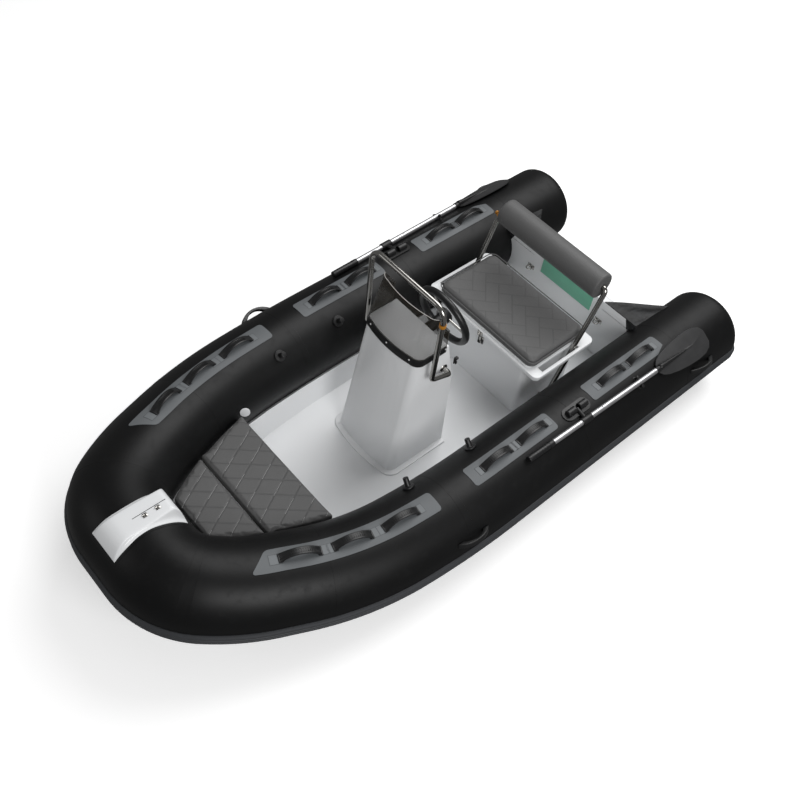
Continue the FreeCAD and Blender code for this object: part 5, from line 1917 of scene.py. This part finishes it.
class BOAT_OT_bow_cushions(bpy.types.Operator):
    """Bow cushions with their diamond quilting, pale stitches and the white ear beside them"""
    bl_idname = "boat.bow_cushions"
    bl_label = "Bow cushions"

    EDGE = 0.009
    CHANNEL_WIDTH = 0.0032
    # The quilting fades out over this band inside a cushion's edge
    FADE_START = 0.008
    FADE = 0.012
    EDGE_DROP = 0.015
    EDGE_RAYS = 8
    STITCH_GAP = 0.0075
    STITCH_SIZE = (0.0050, 0.0012, 0.0009)
    STITCH_LIFT = 0.0001
    STITCH_FACING = 0.85
    # Runs of thread that show and runs that lie sunk in the vinyl, in turn
    RUN_TURN = 0.29
    RUN_SHIFT = 61.0
    RUN_LEVEL = -0.15
    EAR_PLACE = Vector((-0.017, 0.002, 0.024))
    EAR_AXIS = (0.55, 1.0, 0.30)
    EAR_PROFILE = ((-0.003, 0.0), (-0.003, 0.022), (-0.0018, 0.024), (0.0018, 0.024), (0.003, 0.022),
                   (0.003, 0.0))
    EAR_SIDES = 28

    def execute(self, context):
        aft_low, aft_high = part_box("bow_cushion_aft")
        seams = diamond_seams(aft_low.x, high("bow_cushion_forward").x, aft_low.y, aft_high.y)
        for node, name, body in (("bow_cushion_aft", "bow_pad_aft", "bow_lid"),
                                 ("bow_cushion_forward", "bow_pad_forward", ROOT)):
            made = swollen(node, name, self.EDGE)
            quilt(made, seams, sizes("cushion_sizes").quilt_depth, self.CHANNEL_WIDTH, self.rim(node))
            settle(made, body, "cushion_grey", node)
            self.stitches(made, name, body, seams)
        self.ear(aft_low)
        return {"FINISHED"}

    # Fades the quilting out towards a cushion's edge
    def rim(self, node):
        piece = merged_copy(node, "outline", cushion_vinyl)
        tree = surface(piece)
        bpy.data.objects.remove(piece)

        def share(point):
            least = 1.0
            for k in range(self.EDGE_RAYS):
                turn = 2 * math.pi * k / self.EDGE_RAYS
                way = Vector((math.cos(turn), math.sin(turn), 0))
                place = tree.ray_cast(Vector((point.x, point.y, point.z - self.EDGE_DROP)), way)[0]
                if place is None:
                    return 0.0
                least = min(least, (place - point).xy.length)
            return smooth_step((least - self.FADE_START) / self.FADE)
        return share

    def stitches(self, piece, name, body, seams):
        tree = surface(piece)
        places = []
        for start, end, stitched in seams.lines:
            if not stitched:
                continue
            run = end - start
            length = run.length
            run = run / length
            along = Vector((run.x, run.y, 0))
            for k in range(int(length / self.STITCH_GAP)):
                if math.sin(k * self.RUN_TURN + start.x * self.RUN_SHIFT) < self.RUN_LEVEL:
                    continue
                spot = start + run * (k * self.STITCH_GAP)
                place, normal, _, _ = tree.ray_cast(Vector((spot.x, spot.y, 1.0)), Vector((0, 0, -1)))
                if place is not None and normal.z >= self.STITCH_FACING:
                    flat = along - normal * along.dot(normal)
                    places.append((place + normal * self.STITCH_LIFT, flat, normal))
        made = repeated(name + "_stitches", places, self.STITCH_SIZE, thread)
        settle(made, body, "cushion_grey")

    # Small white disc by the aft cushion's starboard corner
    def ear(self, aft_low):
        at = Vector((aft_low.x, aft_low.y, high("bow_locker_lid").z)) + self.EAR_PLACE
        made = lathe("locker_ear", self.EAR_PROFILE, at, self.EAR_AXIS, gelcoat, self.EAR_SIDES)
        settle(made, ROOT, "gelcoat_white")


class BOAT_OT_bolster(bpy.types.Operator):
    """Backrest bolster, filled out, with a welt round each end"""
    bl_idname = "boat.bolster"
    bl_label = "Bolster"

    EDGE = 0.016
    WELT_INSET = 0.006
    WELT_RADIUS = 0.0026
    WELT_STEPS = 64

    def execute(self, context):
        made = swollen("backrest_bolster", "bolster_pad", self.EDGE)
        subdivide(made)
        # Blank mark for the vinyl's painted seam shade, so that none shows on the bolster
        made.data.attributes.new("seam", "FLOAT", "POINT")
        settle(made, "backrest", "cushion_grey", "backrest_bolster")
        box_low, box_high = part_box("backrest_bolster")
        centre = (box_low + box_high) / 2
        radius = (box_high.z - box_low.z) / 2 - self.WELT_INSET
        pieces = []
        for y in (box_low.y + self.WELT_INSET, box_high.y - self.WELT_INSET):
            points = [Vector((centre.x + math.cos(t) * radius, y, centre.z + math.sin(t) * radius))
                      for t in (2 * math.pi * k / self.WELT_STEPS for k in range(self.WELT_STEPS))]
            pieces.append(piping("welt", points, self.WELT_RADIUS, cushion_vinyl))
        settle(joined("bolster_welts", pieces), "backrest", "cushion_grey")
        return {"FINISHED"}


# Rectangle with rounded corners in plan, as points
def rounded_rectangle(x0, x1, y0, y1, radius, steps=8):
    points = []
    for cx, cy, quarter in ((x1 - radius, y1 - radius, 0), (x0 + radius, y1 - radius, 1),
                            (x0 + radius, y0 + radius, 2), (x1 - radius, y0 + radius, 3)):
        for k in range(steps + 1):
            turn = HALF_PI * (quarter + k / steps)
            points.append((cx + radius * math.cos(turn), cy + radius * math.sin(turn)))
    return points


# Thin closed cord laid along points
def piping(name, points, radius, maker, sides=10):
    rows = []
    count = len(points)
    for i, point in enumerate(points):
        along = (points[(i + 1) % count] - points[i - 1]).normalized()
        side = along.orthogonal() if not rows else (side - along * side.dot(along))
        side.normalize()
        other = along.cross(side)
        rows.append([point + (side * math.cos(t) + other * math.sin(t)) * radius
                     for t in (2 * math.pi * k / sides for k in range(sides))])
    return skin(name, rows, maker, along=True)


# Camera of the photograph, in the part's own frame
CAMERA_PLACE = Vector((3.3573, 1.8965, 3.9443))
CAMERA_YAW = -2.4129
CAMERA_PITCH = -0.9128
CAMERA_ROLL = 0.1548
PHOTO_FOCAL_SHARE = 952.46 / 800


class BOAT_OT_stage(bpy.types.Operator):
    """Pale floor at the waterline, soft lights and the photograph's camera"""
    bl_idname = "boat.stage"
    bl_label = "Stage"

    FLOOR_HALF = 14.0
    # place, aim, size and power of each soft lamp
    LAMPS = (
        ("Overhead", (-2.2, -0.5, 5.6), (1.2, 0.0, 0.3), 5.6, 300.0),
        ("Port", (2.6, 5.0, 3.6), (0.9, 0.2, 0.3), 3.0, 170.0),
        ("Bow fill", (5.8, -2.4, 2.6), (1.4, 0.0, 0.2), 2.6, 16.0),
    )
    WORLD_LIGHT = 0.36
    WORLD_GLOSS = 0.16
    WORLD_SEEN = 1.0

    def execute(self, context):
        self.floor()
        self.lamps()
        self.world()
        self.camera()
        context.scene.view_settings.view_transform = "Standard"
        return {"FINISHED"}

    def floor(self):
        half = self.FLOOR_HALF
        made = mesh_piece("floor", [(-half, -half, 0), (half, -half, 0), (half, half, 0), (-half, half, 0)],
                          [(0, 1, 2, 3)], floor_paint, smooth=False)
        made.visible_glossy = False
        made.visible_diffuse = False

    def lamps(self):
        for name, place, aim, width, power in self.LAMPS:
            data = bpy.data.lights.new(name, "AREA")
            data.shape = "DISK"
            data.size = width
            data.energy = power
            lamp = bpy.data.objects.new(name, data)
            lamp.location = place
            lamp.rotation_euler = (Vector(aim) - Vector(place)).to_track_quat("-Z", "Y").to_euler()
            bpy.context.scene.collection.objects.link(lamp)

    # White where the camera looks straight or through the screen, dim as a light, dimmer in reflections
    def world(self):
        world = bpy.data.worlds.new("Studio")
        world.use_nodes = True
        bpy.context.scene.world = world
        tree = world.node_tree
        tree.nodes.clear()
        level = None
        rays = tree.nodes.new("ShaderNodeLightPath")
        for share, strength in ((None, self.WORLD_LIGHT), (rays.outputs["Is Glossy Ray"], self.WORLD_GLOSS),
                                (seen_share(tree), self.WORLD_SEEN)):
            glow = tree.nodes.new("ShaderNodeBackground")
            glow.inputs["Color"].default_value = (1, 1, 1, 1)
            glow.inputs["Strength"].default_value = strength
            if level is None:
                level = glow.outputs[0]
                continue
            choose = tree.nodes.new("ShaderNodeMixShader")
            tree.links.new(share, choose.inputs[0])
            tree.links.new(level, choose.inputs[1])
            tree.links.new(glow.outputs[0], choose.inputs[2])
            level = choose.outputs[0]
        leave = tree.nodes.new("ShaderNodeOutputWorld")
        tree.links.new(level, leave.inputs[0])

    def camera(self):
        ahead = Vector((math.cos(CAMERA_PITCH) * math.cos(CAMERA_YAW),
                        math.cos(CAMERA_PITCH) * math.sin(CAMERA_YAW), math.sin(CAMERA_PITCH)))
        level = ahead.cross(Vector((0, 0, 1))).normalized()
        upright = level.cross(ahead)
        right = level * math.cos(CAMERA_ROLL) + upright * math.sin(CAMERA_ROLL)
        up = upright * math.cos(CAMERA_ROLL) - level * math.sin(CAMERA_ROLL)
        data = bpy.data.cameras.new("Camera")
        data.sensor_width = 36.0
        data.lens = data.sensor_width * PHOTO_FOCAL_SHARE
        data.clip_end = 100.0
        camera = bpy.data.objects.new("Camera", data)
        turn = Matrix((right, up, -ahead)).transposed().to_4x4()
        camera.matrix_world = Matrix.Translation(CAMERA_PLACE) @ turn
        bpy.context.scene.collection.objects.link(camera)
        bpy.context.scene.camera = camera


# 1 for what the camera sees straight or through glass
def seen_share(tree):
    rays = tree.nodes.new("ShaderNodeLightPath")
    most = tree.nodes.new("ShaderNodeMath")
    most.operation = "MAXIMUM"
    for i, name in enumerate(("Is Camera Ray", "Is Transmission Ray")):
        tree.links.new(rays.outputs[name], most.inputs[i])
    return most.outputs[0]


class BOAT_OT_finishes(bpy.types.Operator):
    """Gives the CAD pieces that show their own finish"""
    bl_idname = "boat.finishes"
    bl_label = "CAD finishes"

    def execute(self, context):
        for node, slot in slots_by_node(frame["record"]).items():
            maker = deck_gelcoat if node == "deck" else CAD_FINISHES[slot]
            piece = frame["nodes"][node]
            piece.data.materials.clear()
            piece.data.materials.append(finish(maker))
        return {"FINISHED"}


def slots_by_node(record):
    return {part["node"]: part["material_slot"] for part in record["subparts"]}


STEPS = (BOAT_OT_finishes, BOAT_OT_tubes, BOAT_OT_strake, BOAT_OT_pads, BOAT_OT_grips, BOAT_OT_mouldings,
         BOAT_OT_console, BOAT_OT_metalwork, BOAT_OT_helm, BOAT_OT_oars, BOAT_OT_fittings, BOAT_OT_bow_plate,
         BOAT_OT_seat, BOAT_OT_bow_cushions, BOAT_OT_bolster, BOAT_OT_stage)


class BOAT_PT_panel(bpy.types.Panel):
    """Steps that dress the boat, in order"""
    bl_idname = "BOAT_PT_panel"
    bl_label = "Inflatable boat"
    bl_space_type = "VIEW_3D"
    bl_region_type = "UI"
    bl_category = "Boat"

    def draw(self, context):
        for step in STEPS:
            self.layout.operator(step.bl_idname)
        for held, (group, _) in GROUPS.items():
            for name in group.__annotations__:
                self.layout.prop(getattr(context.scene, held), name)


GROUPS = {
    "tube_sizes": (TubeSizes, "Tube"),
    "pad_sizes": (PadSizes, "Pads"),
    "cushion_sizes": (CushionSizes, "Cushions"),
    "boat_colours": (BoatColours, "Colours"),
}


def register():
    for name, (group, label) in GROUPS.items():
        bpy.utils.register_class(group)
        setattr(bpy.types.Scene, name, bpy.props.PointerProperty(type=group, name=label))
    for kind in (*STEPS, BOAT_PT_panel):
        bpy.utils.register_class(kind)


def unregister():
    for kind in reversed((*STEPS, BOAT_PT_panel)):
        bpy.utils.unregister_class(kind)
    for name, (group, _) in reversed(GROUPS.items()):
        delattr(bpy.types.Scene, name)
        bpy.utils.unregister_class(group)


def main():
    register()
    for step in STEPS:
        family, name = step.bl_idname.split(".")
        if getattr(getattr(bpy.ops, family), name)() != {"FINISHED"}:
            raise RuntimeError("step not finished: " + step.bl_idname)


if __name__ == "__main__":
    main()
